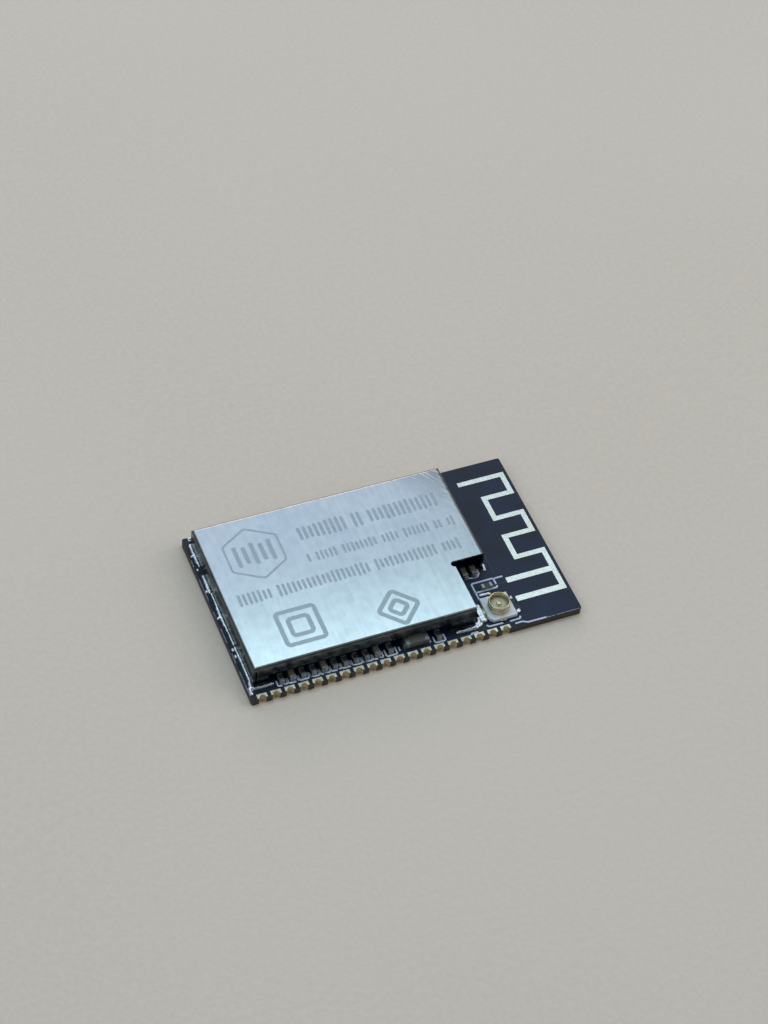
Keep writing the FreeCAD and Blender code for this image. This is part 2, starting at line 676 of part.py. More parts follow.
def notch_parts():
    """The resistor in its printed box and the two capacitors at the can's open notch."""
    box_y = f"({COAX_Y} + dim.coax_side / 2 + dim.box_gap)"
    ceramic, box_caps, lands = chip("feed_resistor", (COAX_X, box_y), RESISTOR, "dim.chip_cap")
    keep(ceramic, "feed_resistor")
    group("feed_resistor_caps", box_caps)
    caps = []
    y = f"({NOTCH_FAR} - dim.notch_tuck)"
    for number, label in enumerate(("notch_capacitor_left", "notch_capacitor_right")):
        x = f"({NOTCH_LEFT} + dim.notch_chip_gap + {number} * dim.notch_chip_pitch)"
        ceramic, ends, plates = chip(label, (x, y), CAPACITOR, "dim.chip_cap", True)
        keep(ceramic, label)
        caps += ends
        lands += plates
    group("notch_capacitor_caps", caps)
    outer_lands.extend(lands)


def inner_chips():
    """Small chip parts under the lid: a middle row, a low row and a column by the radio chip."""
    count = int(value("dim.inner_count"))
    middle, low, side = [], [], []
    for number in range(count):
        step = f"{number} * dim.inner_pitch"
        middle.append((f"({IN_LEFT} + dim.mid_row_left + {step})", f"({IN_FAR} - dim.mid_row)"))
        low.append((f"({IN_LEFT} + dim.low_row_left + {step})", f"({IN_NEAR} + dim.low_row)"))
        column_y = f"({IN_FAR} - dim.side_from_far - {number} * dim.side_pitch)"
        side.append((f"({IN_RIGHT} - dim.side_column)", column_y))
    batches = (("decoupling_capacitor", CAPACITOR, middle, False),
               ("pull_up_resistor", RESISTOR, low, False),
               ("filter_capacitor", CAPACITOR, side, True))
    lands = []
    for kind, sides, places, turned in batches:
        bodies, caps = [], []
        for number, centre in enumerate(places, 1):
            name = f"{kind}_{number}"
            ceramic, ends, plates = chip(name, centre, sides, "dim.chip_cap", turned)
            bodies.append(ceramic)
            caps += ends
            lands += plates
        group(f"{kind}s", bodies)
        group(f"{kind}_caps", caps)
    inner_lands.extend(lands)


def power_inductor():
    """A moulded inductor with wide end caps, near the can's left end."""
    centre = (f"({IN_LEFT} + dim.inductor_from_left)", f"({IN_NEAR} + dim.inductor_from_near)")
    sides = ("dim.inductor_length", "dim.inductor_width", "dim.inductor_height")
    ceramic, caps, lands = chip("power_inductor", centre, sides, "dim.inductor_cap")
    keep(ceramic, "power_inductor")
    group("power_inductor_caps", caps)
    inner_lands.extend(lands)


# --- Coaxial connector ----------------------------------------------------------------------

def coax_outer_contact():
    """The gold ring with its snap groove, and the flat strap whose ends are the ground tabs."""
    body = new_body("coax_outer_contact")
    half_x = "(dim.coax_side / 2 + dim.tab_reach)"
    half_y = "dim.tab_width / 2"
    strap = sketch_on(body, "XY_Plane", LAND)
    draw_rectangle(strap, (f"{COAX_X} - {half_x}", f"{COAX_Y} - {half_y}"),
                   (f"{COAX_X} + {half_x}", f"{COAX_Y} + {half_y}"))
    pad(body, strap, "dim.tab_sheet")
    ring = sketch_on(body, "XY_Plane", LAND)
    draw_circle(ring, (COAX_X, COAX_Y), "dim.ring_radius")
    pad(body, ring, f"dim.ring_top - {UNDERSIDE}")
    bore = sketch_on(body, "XY_Plane", LAND)
    draw_circle(bore, (COAX_X, COAX_Y), "dim.ring_radius - dim.ring_wall")
    cut(body, bore, "dim.ring_top")
    slot = sketch_on(body, "XY_Plane", LAND)
    half_slot = "dim.signal_slot / 2"
    draw_rectangle(slot, (f"{COAX_X} - {half_slot}", f"{COAX_Y} - dim.coax_side"),
                   (f"{COAX_X} + {half_slot}", COAX_Y))
    cut(body, slot, "dim.tab_sheet")
    groove = sketch_on(body, "XY_Plane", f"{FACE} + dim.groove_low")
    draw_circle(groove, (COAX_X, COAX_Y), "dim.ring_radius + dim.sheet")
    draw_circle(groove, (COAX_X, COAX_Y), "dim.ring_radius - dim.groove_depth")
    cut(body, groove, "dim.groove_high - dim.groove_low")
    return keep(body, "coax_outer_contact")


def coax_centre_contact():
    """The gold pin on its square foot in the base, and the signal tab out to the near side."""
    body = new_body("coax_centre_contact")
    tab = sketch_on(body, "XY_Plane", LAND)
    half = "dim.signal_width / 2"
    reach = "(dim.coax_side / 2 + dim.signal_reach)"
    draw_rectangle(tab, (f"{COAX_X} - {half}", f"{COAX_Y} - {reach}"),
                   (f"{COAX_X} + {half}", COAX_Y))
    pad(body, tab, "dim.tab_sheet")
    foot = sketch_on(body, "XY_Plane", LAND)
    draw_rectangle(foot, (f"{COAX_X} - dim.pin_foot / 2", f"{COAX_Y} - dim.pin_foot / 2"),
                   (f"{COAX_X} + dim.pin_foot / 2", f"{COAX_Y} + dim.pin_foot / 2"))
    pad(body, foot, "dim.coax_floor")
    pin = sketch_on(body, "XY_Plane", LAND)
    draw_circle(pin, (COAX_X, COAX_Y), "dim.pin_radius")
    pad(body, pin, f"dim.pin_top - {UNDERSIDE}")
    halfway = value(f"{LAND} + (dim.coax_floor + dim.pin_top) / 2")
    top_edge = [f"Edge{index}" for index, edge in enumerate(body.Shape.Edges, 1)
                if len(edge.Vertexes) == 1 and edge.Vertexes[0].Z > halfway]
    round_edges(body, top_edge, "dim.pin_radius / 2")
    return keep(body, "coax_centre_contact")


def coax_insulator(contacts):
    """The white base, moulded about both contacts, with one corner cut away."""
    body = new_body("coax_block")
    profile = sketch_on(body, "XY_Plane", LAND)
    low = (f"({COAX_X} - dim.coax_side / 2)", f"({COAX_Y} - dim.coax_side / 2)")
    high = (f"({COAX_X} + dim.coax_side / 2)", f"({COAX_Y} + dim.coax_side / 2)")
    draw_outline(profile, ((f"{low[0]} + dim.coax_corner", low[1]), (high[0], low[1]), high,
                           (low[0], high[1]), (low[0], f"{low[1]} + dim.coax_corner")))
    pad(body, profile, "dim.coax_floor")
    block = body
    for contact in contacts:
        moulded = doc.addObject("Part::Cut", f"coax_insulator_{contact.Name}")
        moulded.Base = block
        moulded.Tool = contact
        block = moulded
    keep(block, "coax_insulator")


def coax_lands_and_solder():
    """Copper and solder under the two ground tabs and the signal tab."""
    lands, solder = [], []
    half = "dim.coax_side / 2"
    width = "(dim.tab_reach + dim.coax_land)"
    for name, sign, turn in (("left", "-", OUT_LEFT), ("right", "+", OUT_RIGHT)):
        x = f"({COAX_X} {sign} ({half} + {width} / 2))"
        lands.append(top.land(f"coax_{name}_land", (x, COAX_Y), (width, "dim.tab_width")))
        edge_x = f"({COAX_X} {sign} ({half} + dim.tab_reach))"
        start = f"({COAX_Y} {sign} dim.tab_width / 2)"
        solder.append(fillet_of_solder(f"coax_{name}_solder", (edge_x, start), turn,
                                       "dim.tab_width", "dim.coax_land", "dim.tab_sheet"))
    reach = "(dim.signal_reach + dim.mask)"
    y = f"({COAX_Y} - {half} - {reach} / 2)"
    lands.append(top.land("coax_signal_land", (COAX_X, y), ("dim.signal_width", reach)))
    group("coax_lands", lands)
    group("coax_solder", solder)


# --- Packages -------------------------------------------------------------------------------

def radio_place():
    """The middle of the radio chip."""
    return f"({IN_RIGHT} - dim.radio_from_right)", f"({IN_FAR} - dim.chips_from_far)"


def codec_place():
    """The middle of the audio codec."""
    return f"({IN_LEFT} + dim.codec_from_left)", f"({IN_FAR} - dim.chips_from_far)"


def flat_package(label, centre, side, height, pins):
    """A leadless package: rounded body, a row of joints on each side and one in the middle."""
    body = rounded_block(label, centre, SEAT, (side, side, height), "dim.package_round")
    keep(body, label)
    joint_height = "(dim.copper + dim.solder_film)"
    joints = []
    count = int(value(pins))
    for number in range(count):
        along = f"(({number} - ({pins} - 1) / 2) * dim.lead_pitch)"
        out = f"(({side} - dim.lead_length) / 2 + dim.lead_reach)"
        ways = (("low_x", (f"(-{out})", along), ("dim.lead_length", "dim.lead_width")),
                ("high_x", (out, along), ("dim.lead_length", "dim.lead_width")),
                ("low_y", (along, f"(-{out})"), ("dim.lead_width", "dim.lead_length")),
                ("high_y", (along, out), ("dim.lead_width", "dim.lead_length")))
        for way, shift, sides in ways:
            place = [f"({middle} + {step})" for middle, step in zip(centre, shift)]
            name = f"{label}_{way}_{number + 1}"
            joints.append(box(name, place, LAMINATE_TOP, (*sides, joint_height)))
    belly = f"({side} * dim.centre_pad)"
    joints.append(box(f"{label}_belly", centre, LAMINATE_TOP, (belly, belly, joint_height)))
    window = f"({side} + 2 * dim.lead_reach)"
    top.clear(label, centre, (window, window))
    group(f"{label}_joints", joints)


def memory(label, centre, body_length, across, span):
    """A small-outline memory: a chamfered body on gull-wing legs along both of its sides.

    The legs leave the sides that face left and right; body_length runs between those sides.
    """
    sides = (across, body_length)
    base = f"({LAND} + dim.standoff)"
    height = f"(dim.memory_height - {UNDERSIDE} - dim.standoff)"
    if label == "work_memory":
        height = f"({height} - dim.work_drop)"
    keep(rounded_block(label, centre, base, (*sides, height), "dim.package_round"), label)

    legs = new_body(f"{label}_legs")
    pitch_span = "((dim.memory_rows - 1) * dim.memory_pitch)"
    first_y = f"({centre[1]} + {pitch_span} / 2 + dim.leg_width / 2)"
    profile = sketch_on(legs, "XZ_Plane", f"-{first_y}")
    shoulder_low = f"({base} + {height} / 2)"
    shoulder_high = f"({shoulder_low} + dim.leg_sheet)"
    foot_high = f"({LAND} + dim.leg_sheet)"
    for sign in ("-", "+"):
        inner = f"({centre[0]} {sign} {across} / 2)"
        tip = f"({centre[0]} {sign} {span} / 2)"
        heel = f"({centre[0]} {sign} ({span} / 2 - dim.leg_foot))"
        heel_out = f"({centre[0]} {sign} ({span} / 2 - dim.leg_foot + dim.leg_sheet))"
        draw_outline(profile, ((inner, shoulder_low), (heel, shoulder_low), (heel, LAND),
                               (tip, LAND), (tip, foot_high), (heel_out, foot_high),
                               (heel_out, shoulder_high), (inner, shoulder_high)))
    leg = pad(legs, profile, "dim.leg_width")
    repeat_along(legs, [leg], "Y_Axis", "dim.memory_rows", "dim.memory_pitch")
    legs.Tip.Reversed = True
    doc.recompute()
    keep(legs, f"{label}_legs")

    for number in range(int(value("dim.memory_rows"))):
        y = f"({centre[1]} + ({number} - (dim.memory_rows - 1) / 2) * dim.memory_pitch)"
        for name, sign in (("left", "-"), ("right", "+")):
            x = f"({centre[0]} {sign} ({span} / 2 - dim.leg_foot / 2))"
            inner_lands.append(top.land(f"{label}_{name}_land_{number + 1}", (x, y),
                                        ("dim.leg_foot", "dim.leg_width")))


def crystal(label, centre):
    """A ceramic crystal package with a seam-welded metal lid, on its four lands."""
    sides = ("dim.crystal_length", "dim.crystal_width")
    keep(box(f"{label}_base", centre, LAND, (*sides, "dim.crystal_base")), f"{label}_base")
    lid_sides = [f"({side} - 2 * dim.lid_inset)" for side in sides]
    lid = rounded_block(f"{label}_lid", centre, f"({LAND} + dim.crystal_base)",
                        (*lid_sides, "dim.crystal_lid"), "dim.package_round")
    keep(lid, f"{label}_lid")
    land_sides = ("(dim.crystal_length / 3)", "(dim.crystal_width / 3)")
    for end, sign_x in (("left", "-"), ("right", "+")):
        for edge, sign_y in (("near", "-"), ("far", "+")):
            place = (f"({centre[0]} {sign_x} dim.crystal_length / 3)",
                     f"({centre[1]} {sign_y} dim.crystal_width / 3)")
            name = f"{label}_{end}_{edge}_land"
            inner_lands.append(top.land(name, place, land_sides))


def packages():
    """Everything large that the can covers."""
    flat_package("radio_chip", radio_place(), "dim.radio_side", "dim.radio_height",
                 "dim.radio_pins")
    flat_package("audio_codec", codec_place(), "dim.codec_side", "dim.codec_height",
                 "dim.codec_pins")
    memory_x = f"({IN_LEFT} + dim.memory_from_left)"
    memory("flash_memory", (memory_x, f"({IN_NEAR} + dim.flash_from_near)"),
           "dim.flash_body", "dim.flash_across", "dim.flash_span")
    memory("work_memory", (memory_x, f"({IN_FAR} - dim.work_from_far)"),
           "dim.work_body", "dim.work_across", "dim.work_span")
    crystal_y = f"({IN_FAR} - dim.crystal_from_far)"
    crystal("radio_crystal", (radio_place()[0], crystal_y))
    crystal("audio_crystal", (codec_place()[0], crystal_y))


def check_document():
    """Stop unless every object is up to date and every sub-part is a sound, non-empty shape."""
    doc.recompute()
    for item in doc.Objects:
        if "Invalid" in item.State or "Error" in item.State:
            raise RuntimeError(f"{item.Name} is {item.State}")
    labels = [item.Label for item in subparts]
    if len(set(labels)) != len(labels):
        raise RuntimeError("two sub-parts share a label")
    for item in subparts:
        if item.Shape.isNull() or not item.Shape.isValid() or not item.Shape.Solids:
            raise RuntimeError(f"{item.Label} has no sound shape")


def write_parts():
    """Write each sub-part to its own file, and print what it holds."""
    os.makedirs("parts", exist_ok=True)
    for item in subparts:
        item.Shape.exportStep(f"parts/{item.Label}.step")
        volume = round(item.Shape.Volume, DECIMALS)
        print(f"{item.Label}: {len(item.Shape.Solids)} solids, {volume} mm3")
    print(f"{len(subparts)} sub-parts")


fill_sheet()
board_laminate()
edge_terminals("near_edge_terminals", NEAR, 1)
edge_terminals("far_edge_terminals", FAR, -1)
antenna_trace()
underside_pads()
shield_can()
shield_lands()
shield_solder()
near_row()
notch_parts()
inner_chips()
power_inductor()
coax_insulator((coax_outer_contact(), coax_centre_contact()))
coax_lands_and_solder()
packages()
group("outer_chip_lands", outer_lands)
group("inner_part_lands", inner_lands)
top.cut_from(mask_plate("top_mask_plate", LAMINATE_TOP), "solder_mask_top")
bottom.cut_from(mask_plate("bottom_mask_plate", UNDERSIDE), "solder_mask_bottom")
check_document()
write_parts()
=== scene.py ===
import json
import math

import bmesh
import bpy
from mathutils import Matrix, Vector


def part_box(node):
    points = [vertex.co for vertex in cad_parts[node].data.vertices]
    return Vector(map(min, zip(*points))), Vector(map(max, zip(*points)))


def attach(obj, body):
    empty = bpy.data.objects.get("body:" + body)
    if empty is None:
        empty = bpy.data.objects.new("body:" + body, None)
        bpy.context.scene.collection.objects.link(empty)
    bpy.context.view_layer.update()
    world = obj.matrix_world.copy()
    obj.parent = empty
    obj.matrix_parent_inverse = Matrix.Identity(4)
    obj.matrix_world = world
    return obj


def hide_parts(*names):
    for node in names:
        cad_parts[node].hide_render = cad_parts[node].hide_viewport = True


bl_info = {
    "name": "Radio Module Dressing",
    "version": (1, 0, 0),
    "blender": (4, 5, 0),
    "location": "3D View > Sidebar > Radio Module",
    "description": "Gives the shielded radio module its solder, ink, markings, metals and stage",
    "category": "Object",
}

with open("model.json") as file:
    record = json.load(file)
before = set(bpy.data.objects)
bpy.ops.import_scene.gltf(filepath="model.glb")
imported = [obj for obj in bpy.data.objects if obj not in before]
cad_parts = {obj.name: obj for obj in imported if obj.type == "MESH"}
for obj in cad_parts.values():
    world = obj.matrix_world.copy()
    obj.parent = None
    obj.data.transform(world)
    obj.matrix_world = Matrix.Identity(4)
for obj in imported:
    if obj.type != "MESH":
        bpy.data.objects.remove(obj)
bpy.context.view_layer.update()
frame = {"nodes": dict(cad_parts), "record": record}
MM = 0.001
BODY = "root"

MASK_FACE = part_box("solder_mask_top")[1].z
UNDER_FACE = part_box("solder_mask_bottom")[0].z
LAND_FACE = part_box("shield_lands")[1].z
BOARD_LOW, BOARD_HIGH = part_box("board_laminate")
CAN_LOW, CAN_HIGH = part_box("shield_can")
JACK_LOW, JACK_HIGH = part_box("coax_insulator")


# --- Colour and nodes -----------------------------------------------------------------------

def linear(code):
    """Turns an sRGB hex colour into the linear red, green and blue that the shaders take."""
    parts = [int(code[start:start + 2], 16) / 255 for start in (1, 3, 5)]
    return tuple(part / 12.92 if part <= 0.04045 else ((part + 0.055) / 1.055) ** 2.4
                 for part in parts)


def shade(tone):
    """A shader's four numbers, from a hex code or the name of one of the sidebar's colours."""
    hexed = tone.startswith("#")
    return (*(linear(tone) if hexed else getattr(bpy.context.scene.module_colours, tone)), 1.0)


def add(tree, kind, sockets=None, **settings):
    """Adds a node, makes its settings, then fills its sockets: a value, a socket or a node's result."""
    node = tree.nodes.new(kind)
    for name, value in settings.items():
        setattr(node, name, value)
    for name, value in (sockets or {}).items():
        if isinstance(value, bpy.types.Node):
            value = next(result for result in value.outputs if result.enabled)
        if isinstance(value, bpy.types.NodeSocket):
            tree.links.new(value, node.inputs[name])
        else:
            node.inputs[name].default_value = value
    return node


def start_finish(name):
    """An empty material with its object coordinates in millimetres."""
    material = bpy.data.materials.new(name)
    material.use_nodes = True
    tree = material.node_tree
    tree.nodes.clear()
    place = add(tree, "ShaderNodeTexCoord").outputs["Object"]
    millimetres = add(tree, "ShaderNodeVectorMath", {0: place, 1: (1 / MM,) * 3}, operation="MULTIPLY")
    return material, tree, millimetres


def grain(tree, place, size, stretch=(1, 1, 1), detail=3.0, low=0.3, high=0.7):
    """Noise whose cells are size millimetres wide, spread to run from 0 to 1."""
    scaled = add(tree, "ShaderNodeVectorMath",
                 {0: place, 1: tuple(1 / (size * s) for s in stretch)}, operation="MULTIPLY")
    noise = add(tree, "ShaderNodeTexNoise", {"Vector": scaled, "Scale": 1.0, "Detail": detail})
    return add(tree, "ShaderNodeMapRange", {"Value": noise, "From Min": low, "From Max": high})


def close_finish(tree, **sockets):
    """Ends a material with its surface shader."""
    named = {label.replace("_", " "): value for label, value in sockets.items()}
    shader = add(tree, "ShaderNodeBsdfPrincipled", named)
    add(tree, "ShaderNodeOutputMaterial", {"Surface": shader})


# --- Finishes -------------------------------------------------------------------------------

CROWN_RADIUS = 150.0  # millimetres: the lid's sheet is bowed a little, as pressed lids are
FAR_CORNER_FROM, FAR_CORNER_FULL = 11.0, 16.0  # where x + y, in millimetres, meets the far right corner, darker and scratched
RUB_TURN = math.radians(-38)  # how the rubbed scratches slant across the lid
LID_FACING, WALL_FACING = 0.985, 0.7  # the upward share of a normal on the flat lid and past a bend
BORE_FROM, BORE_FULL = 0.8, 0.2  # the same share, where a pad turns into its half hole
GLAZE_FROM, GLAZE_FULL = 1.14, 1.17  # millimetres: heights between which a resistor's glaze begins


def even_finish(name, dark, light, size, rough, depth=0.0, detail=2.0, stretch=(1, 1, 1),
                skin=0.0, **sockets):
    """A finish whose tone, gloss and relief follow one grain, its size given in millimetres.

    Where it has a skin, the gloss and relief follow that second, finer grain instead.
    """
    material, tree, place = start_finish(name)
    fine = grain(tree, place, size, stretch, detail)
    tone = add(tree, "ShaderNodeMix", {0: fine, 6: shade(dark), 7: shade(light)}, data_type="RGBA")
    if skin:
        fine = grain(tree, place, skin, detail=2.0)
    gloss = add(tree, "ShaderNodeMapRange", {"Value": fine, "To Min": rough[0], "To Max": rough[1]})
    if depth:
        sockets["Normal"] = add(tree, "ShaderNodeBump", {"Height": fine, "Distance": depth * MM})
    close_finish(tree, Base_Color=tone, Roughness=gloss, **sockets)
    return material


def rolled_tin():
    """Tin-plated steel sheet, cold rolled: a soft mottle, faint streaks and small dents.

    Its lid keeps the bright plate, but its far right corner is darker and carries slanting scratches.
    The bends and walls take a dull, dark teal-grey tone: painted shade and painted reflection of a dark
    room.
    """
    material, tree, place = start_finish("tin-plated rolled steel")
    cloud = grain(tree, place, 4.0)
    mottle = grain(tree, place, 0.9)
    streak = grain(tree, place, 0.34, stretch=(1, 18, 1), detail=2.0)
    parts = add(tree, "ShaderNodeSeparateXYZ", {"Vector": place})
    corner = add(tree, "ShaderNodeMath", {0: parts.outputs["X"], 1: parts.outputs["Y"]},
                 operation="ADD")
    far_corner = add(tree, "ShaderNodeMapRange",
               {"Value": corner, "From Min": FAR_CORNER_FROM, "From Max": FAR_CORNER_FULL})
    turned = add(tree, "ShaderNodeMapping", {"Vector": place, "Rotation": (0, 0, RUB_TURN)})
    scratch = grain(tree, turned, 0.2, stretch=(1, 14, 1), detail=2.0, low=0.5, high=0.66)
    rubbed = add(tree, "ShaderNodeMath", {0: scratch, 1: far_corner}, operation="MULTIPLY")
    tone = add(tree, "ShaderNodeMix", {0: mottle, 6: shade("#C8CBCE"), 7: shade("#D6D8DA")},
               data_type="RGBA")
    lines = add(tree, "ShaderNodeMapRange", {"Value": streak, "To Max": 0.4})
    # Darker towards the far right corner of the lid.
    far_corner_darkening = add(tree, "ShaderNodeMapRange", {"Value": far_corner, "To Max": 0.7})
    for share, code in ((lines, "#E2E4E6"), (far_corner_darkening, "#93959A"), (rubbed, "#DEDCD8")):
        tone = add(tree, "ShaderNodeMix", {0: share, 6: tone, 7: shade(code)}, data_type="RGBA")
    # Painted shade: as a normal turns from up into a bend or wall, the tone goes dark teal-grey.
    facing = add(tree, "ShaderNodeNewGeometry").outputs["Normal"]
    upward = add(tree, "ShaderNodeSeparateXYZ", {"Vector": facing}).outputs["Z"]
    wall_shade_share = add(tree, "ShaderNodeMapRange",
                {"Value": upward, "From Min": LID_FACING, "From Max": WALL_FACING})
    painted_wall_shade = add(tree, "ShaderNodeMix", {0: mottle, 6: shade("#3C444B"), 7: shade("#6C6F6C")},
               data_type="RGBA")
    tone = add(tree, "ShaderNodeMix", {0: wall_shade_share, 6: tone, 7: painted_wall_shade}, data_type="RGBA")
    satin = add(tree, "ShaderNodeMapRange", {"Value": cloud, "To Min": 0.21, "To Max": 0.27})
    scuffed = add(tree, "ShaderNodeMapRange", {"Value": rubbed, "To Max": 0.16})
    rough = add(tree, "ShaderNodeMath", {0: satin, 1: scuffed}, operation="ADD")
    middle = (CAN_LOW + CAN_HIGH) / 2 / MM
    reach = add(tree, "ShaderNodeVectorMath", {0: place, 1: middle}, operation="SUBTRACT")
    square = add(tree, "ShaderNodeVectorMath", {0: reach, 1: reach}, operation="DOT_PRODUCT")
    crown = add(tree, "ShaderNodeMath", {0: square, 1: -0.5 / CROWN_RADIUS}, operation="MULTIPLY")
    bumps = add(tree, "ShaderNodeBump", {"Height": crown, "Distance": MM})
    waves = grain(tree, place, 6.5, detail=1.0, low=0, high=1)
    dents = grain(tree, place, 1.7, low=0, high=1)
    for height, depth in ((waves, 0.02), (dents, 0.006), (streak, 0.0016), (rubbed, 0.006)):
        bumps = add(tree, "ShaderNodeBump",
                    {"Height": height, "Distance": depth * MM, "Normal": bumps})
    close_finish(tree, Base_Color=tone, Metallic=1.0, Roughness=rough, Normal=bumps)
    return material


def glass_epoxy():
    """Glass-cloth epoxy sawn through: a dark edge with paler threads in layers."""
    material, tree, place = start_finish("cut glass epoxy")
    threads = grain(tree, place, 0.07, stretch=(9, 9, 1))
    ends = grain(tree, place, 0.12, detail=2.0)
    tone = add(tree, "ShaderNodeMix", {0: threads, 6: shade("#15151A"), 7: shade("#38342C")},
               data_type="RGBA")
    pale = add(tree, "ShaderNodeMapRange", {"Value": ends, "To Max": 0.35})
    tone = add(tree, "ShaderNodeMix", {0: pale, 6: tone, 7: shade("#6A6452")}, data_type="RGBA")
    gloss = add(tree, "ShaderNodeMapRange", {"Value": ends, "To Min": 0.5, "To Max": 0.75})
    bumps = add(tree, "ShaderNodeBump", {"Height": threads, "Distance": 0.006 * MM})
    close_finish(tree, Base_Color=tone, Roughness=gloss, IOR=1.5, Normal=bumps)
    return material


def immersion_gold():
    """Gold dipped over nickel on copper: a thin, pale satin gold; in the bores olive and duller, the
    olive being painted shade.
    """
    material, tree, place = start_finish("immersion gold")
    cloud = grain(tree, place, 0.5)
    fine = grain(tree, place, 0.09, detail=2.0)
    # Painted shade: side-facing plating in the half holes takes a darker olive tone than the up-facing
    # pads.
    facing = add(tree, "ShaderNodeNewGeometry").outputs["Normal"]
    upward = add(tree, "ShaderNodeSeparateXYZ", {"Vector": facing}).outputs["Z"]
    bore_shade_share = add(tree, "ShaderNodeMapRange",
                 {"Value": upward, "From Min": BORE_FROM, "From Max": BORE_FULL})
    pale = add(tree, "ShaderNodeMix", {0: cloud, 6: shade("#D6CAB0"), 7: shade("#F8EDDB")},
               data_type="RGBA")
    shaded_olive = add(tree, "ShaderNodeMix", {0: cloud, 6: shade("#AE9C72"), 7: shade("#E0D0B2")},
                data_type="RGBA")
    tone = add(tree, "ShaderNodeMix", {0: bore_shade_share, 6: pale, 7: shaded_olive}, data_type="RGBA")
    metal = add(tree, "ShaderNodeMapRange", {"Value": bore_shade_share, "To Min": 1.0, "To Max": 0.35})
    gloss = add(tree, "ShaderNodeMapRange", {"Value": fine, "To Min": 0.26, "To Max": 0.42})
    bumps = add(tree, "ShaderNodeBump", {"Height": fine, "Distance": 0.002 * MM})
    close_finish(tree, Base_Color=tone, Metallic=metal, Roughness=gloss, Normal=bumps)
    return material


def reflowed_solder():
    """Lead-free solder after reflow: bright silver, wavy and slightly grained."""
    material, tree, place = start_finish("reflowed solder")
    cloud = grain(tree, place, 0.35)
    ripple = grain(tree, place, 0.22, detail=2.0)
    tone = add(tree, "ShaderNodeMix", {0: cloud, 6: shade("#C6CCD2"), 7: shade("#F4F7F9")},
               data_type="RGBA")
    gloss = add(tree, "ShaderNodeMapRange", {"Value": cloud, "To Min": 0.16, "To Max": 0.34})
    bumps = add(tree, "ShaderNodeBump", {"Height": ripple, "Distance": 0.012 * MM})
    close_finish(tree, Base_Color=tone, Metallic=1.0, Roughness=gloss, Normal=bumps)
    return material


def glazed_alumina():
    """Thick-film resistor: white alumina with a black glass glaze fired on its top."""
    material, tree, place = start_finish("glazed resistor alumina")
    height = add(tree, "ShaderNodeSeparateXYZ", {"Vector": place}).outputs["Z"]
    top = add(tree, "ShaderNodeMapRange",
              {"Value": height, "From Min": GLAZE_FROM, "From Max": GLAZE_FULL})
    speck = grain(tree, place, 0.06, detail=2.0)
    white = add(tree, "ShaderNodeMix", {0: speck, 6: shade("#7F8482"), 7: shade("#A6A8A2")},
                data_type="RGBA")
    black = add(tree, "ShaderNodeMix", {0: speck, 6: shade("#23262A"), 7: shade("#3A3D40")},
                data_type="RGBA")
    tone = add(tree, "ShaderNodeMix", {0: top, 6: white, 7: black}, data_type="RGBA")
    gloss = add(tree, "ShaderNodeMapRange", {"Value": speck, "To Min": 0.25, "To Max": 0.4})
    bumps = add(tree, "ShaderNodeBump", {"Height": speck, "Distance": 0.003 * MM})
    close_finish(tree, Base_Color=tone, Roughness=gloss, IOR=1.52, Normal=bumps)
    return material


def paper_floor():
    """Plain pale card under the module: matt with a faint fibre grain, and clear from below."""
    material, tree, place = start_finish("pale uncoated card")
    fibre = grain(tree, place, 0.5, detail=4.0)
    cloud = grain(tree, place, 60.0, detail=1.0)
    tone = add(tree, "ShaderNodeMix", {0: fibre, 6: shade("#E8D7C8"), 7: shade("#EDDED1")},
               data_type="RGBA")
    faint = add(tree, "ShaderNodeMapRange", {"Value": cloud, "To Max": 0.5})
    tone = add(tree, "ShaderNodeMix", {0: faint, 6: tone, 7: shade("#F0E2D6")}, data_type="RGBA")
    bumps = add(tree, "ShaderNodeBump", {"Height": fibre, "Distance": 0.02 * MM})
    card = add(tree, "ShaderNodeBsdfPrincipled", {"Base Color": tone, "Roughness": 0.9,
                                                  "Normal": bumps})
    clear = add(tree, "ShaderNodeBsdfTransparent")
    back = add(tree, "ShaderNodeNewGeometry").outputs["Backfacing"]
    either = add(tree, "ShaderNodeMixShader", {0: back, 1: card, 2: clear})
    add(tree, "ShaderNodeOutputMaterial", {"Surface": either})
    return material


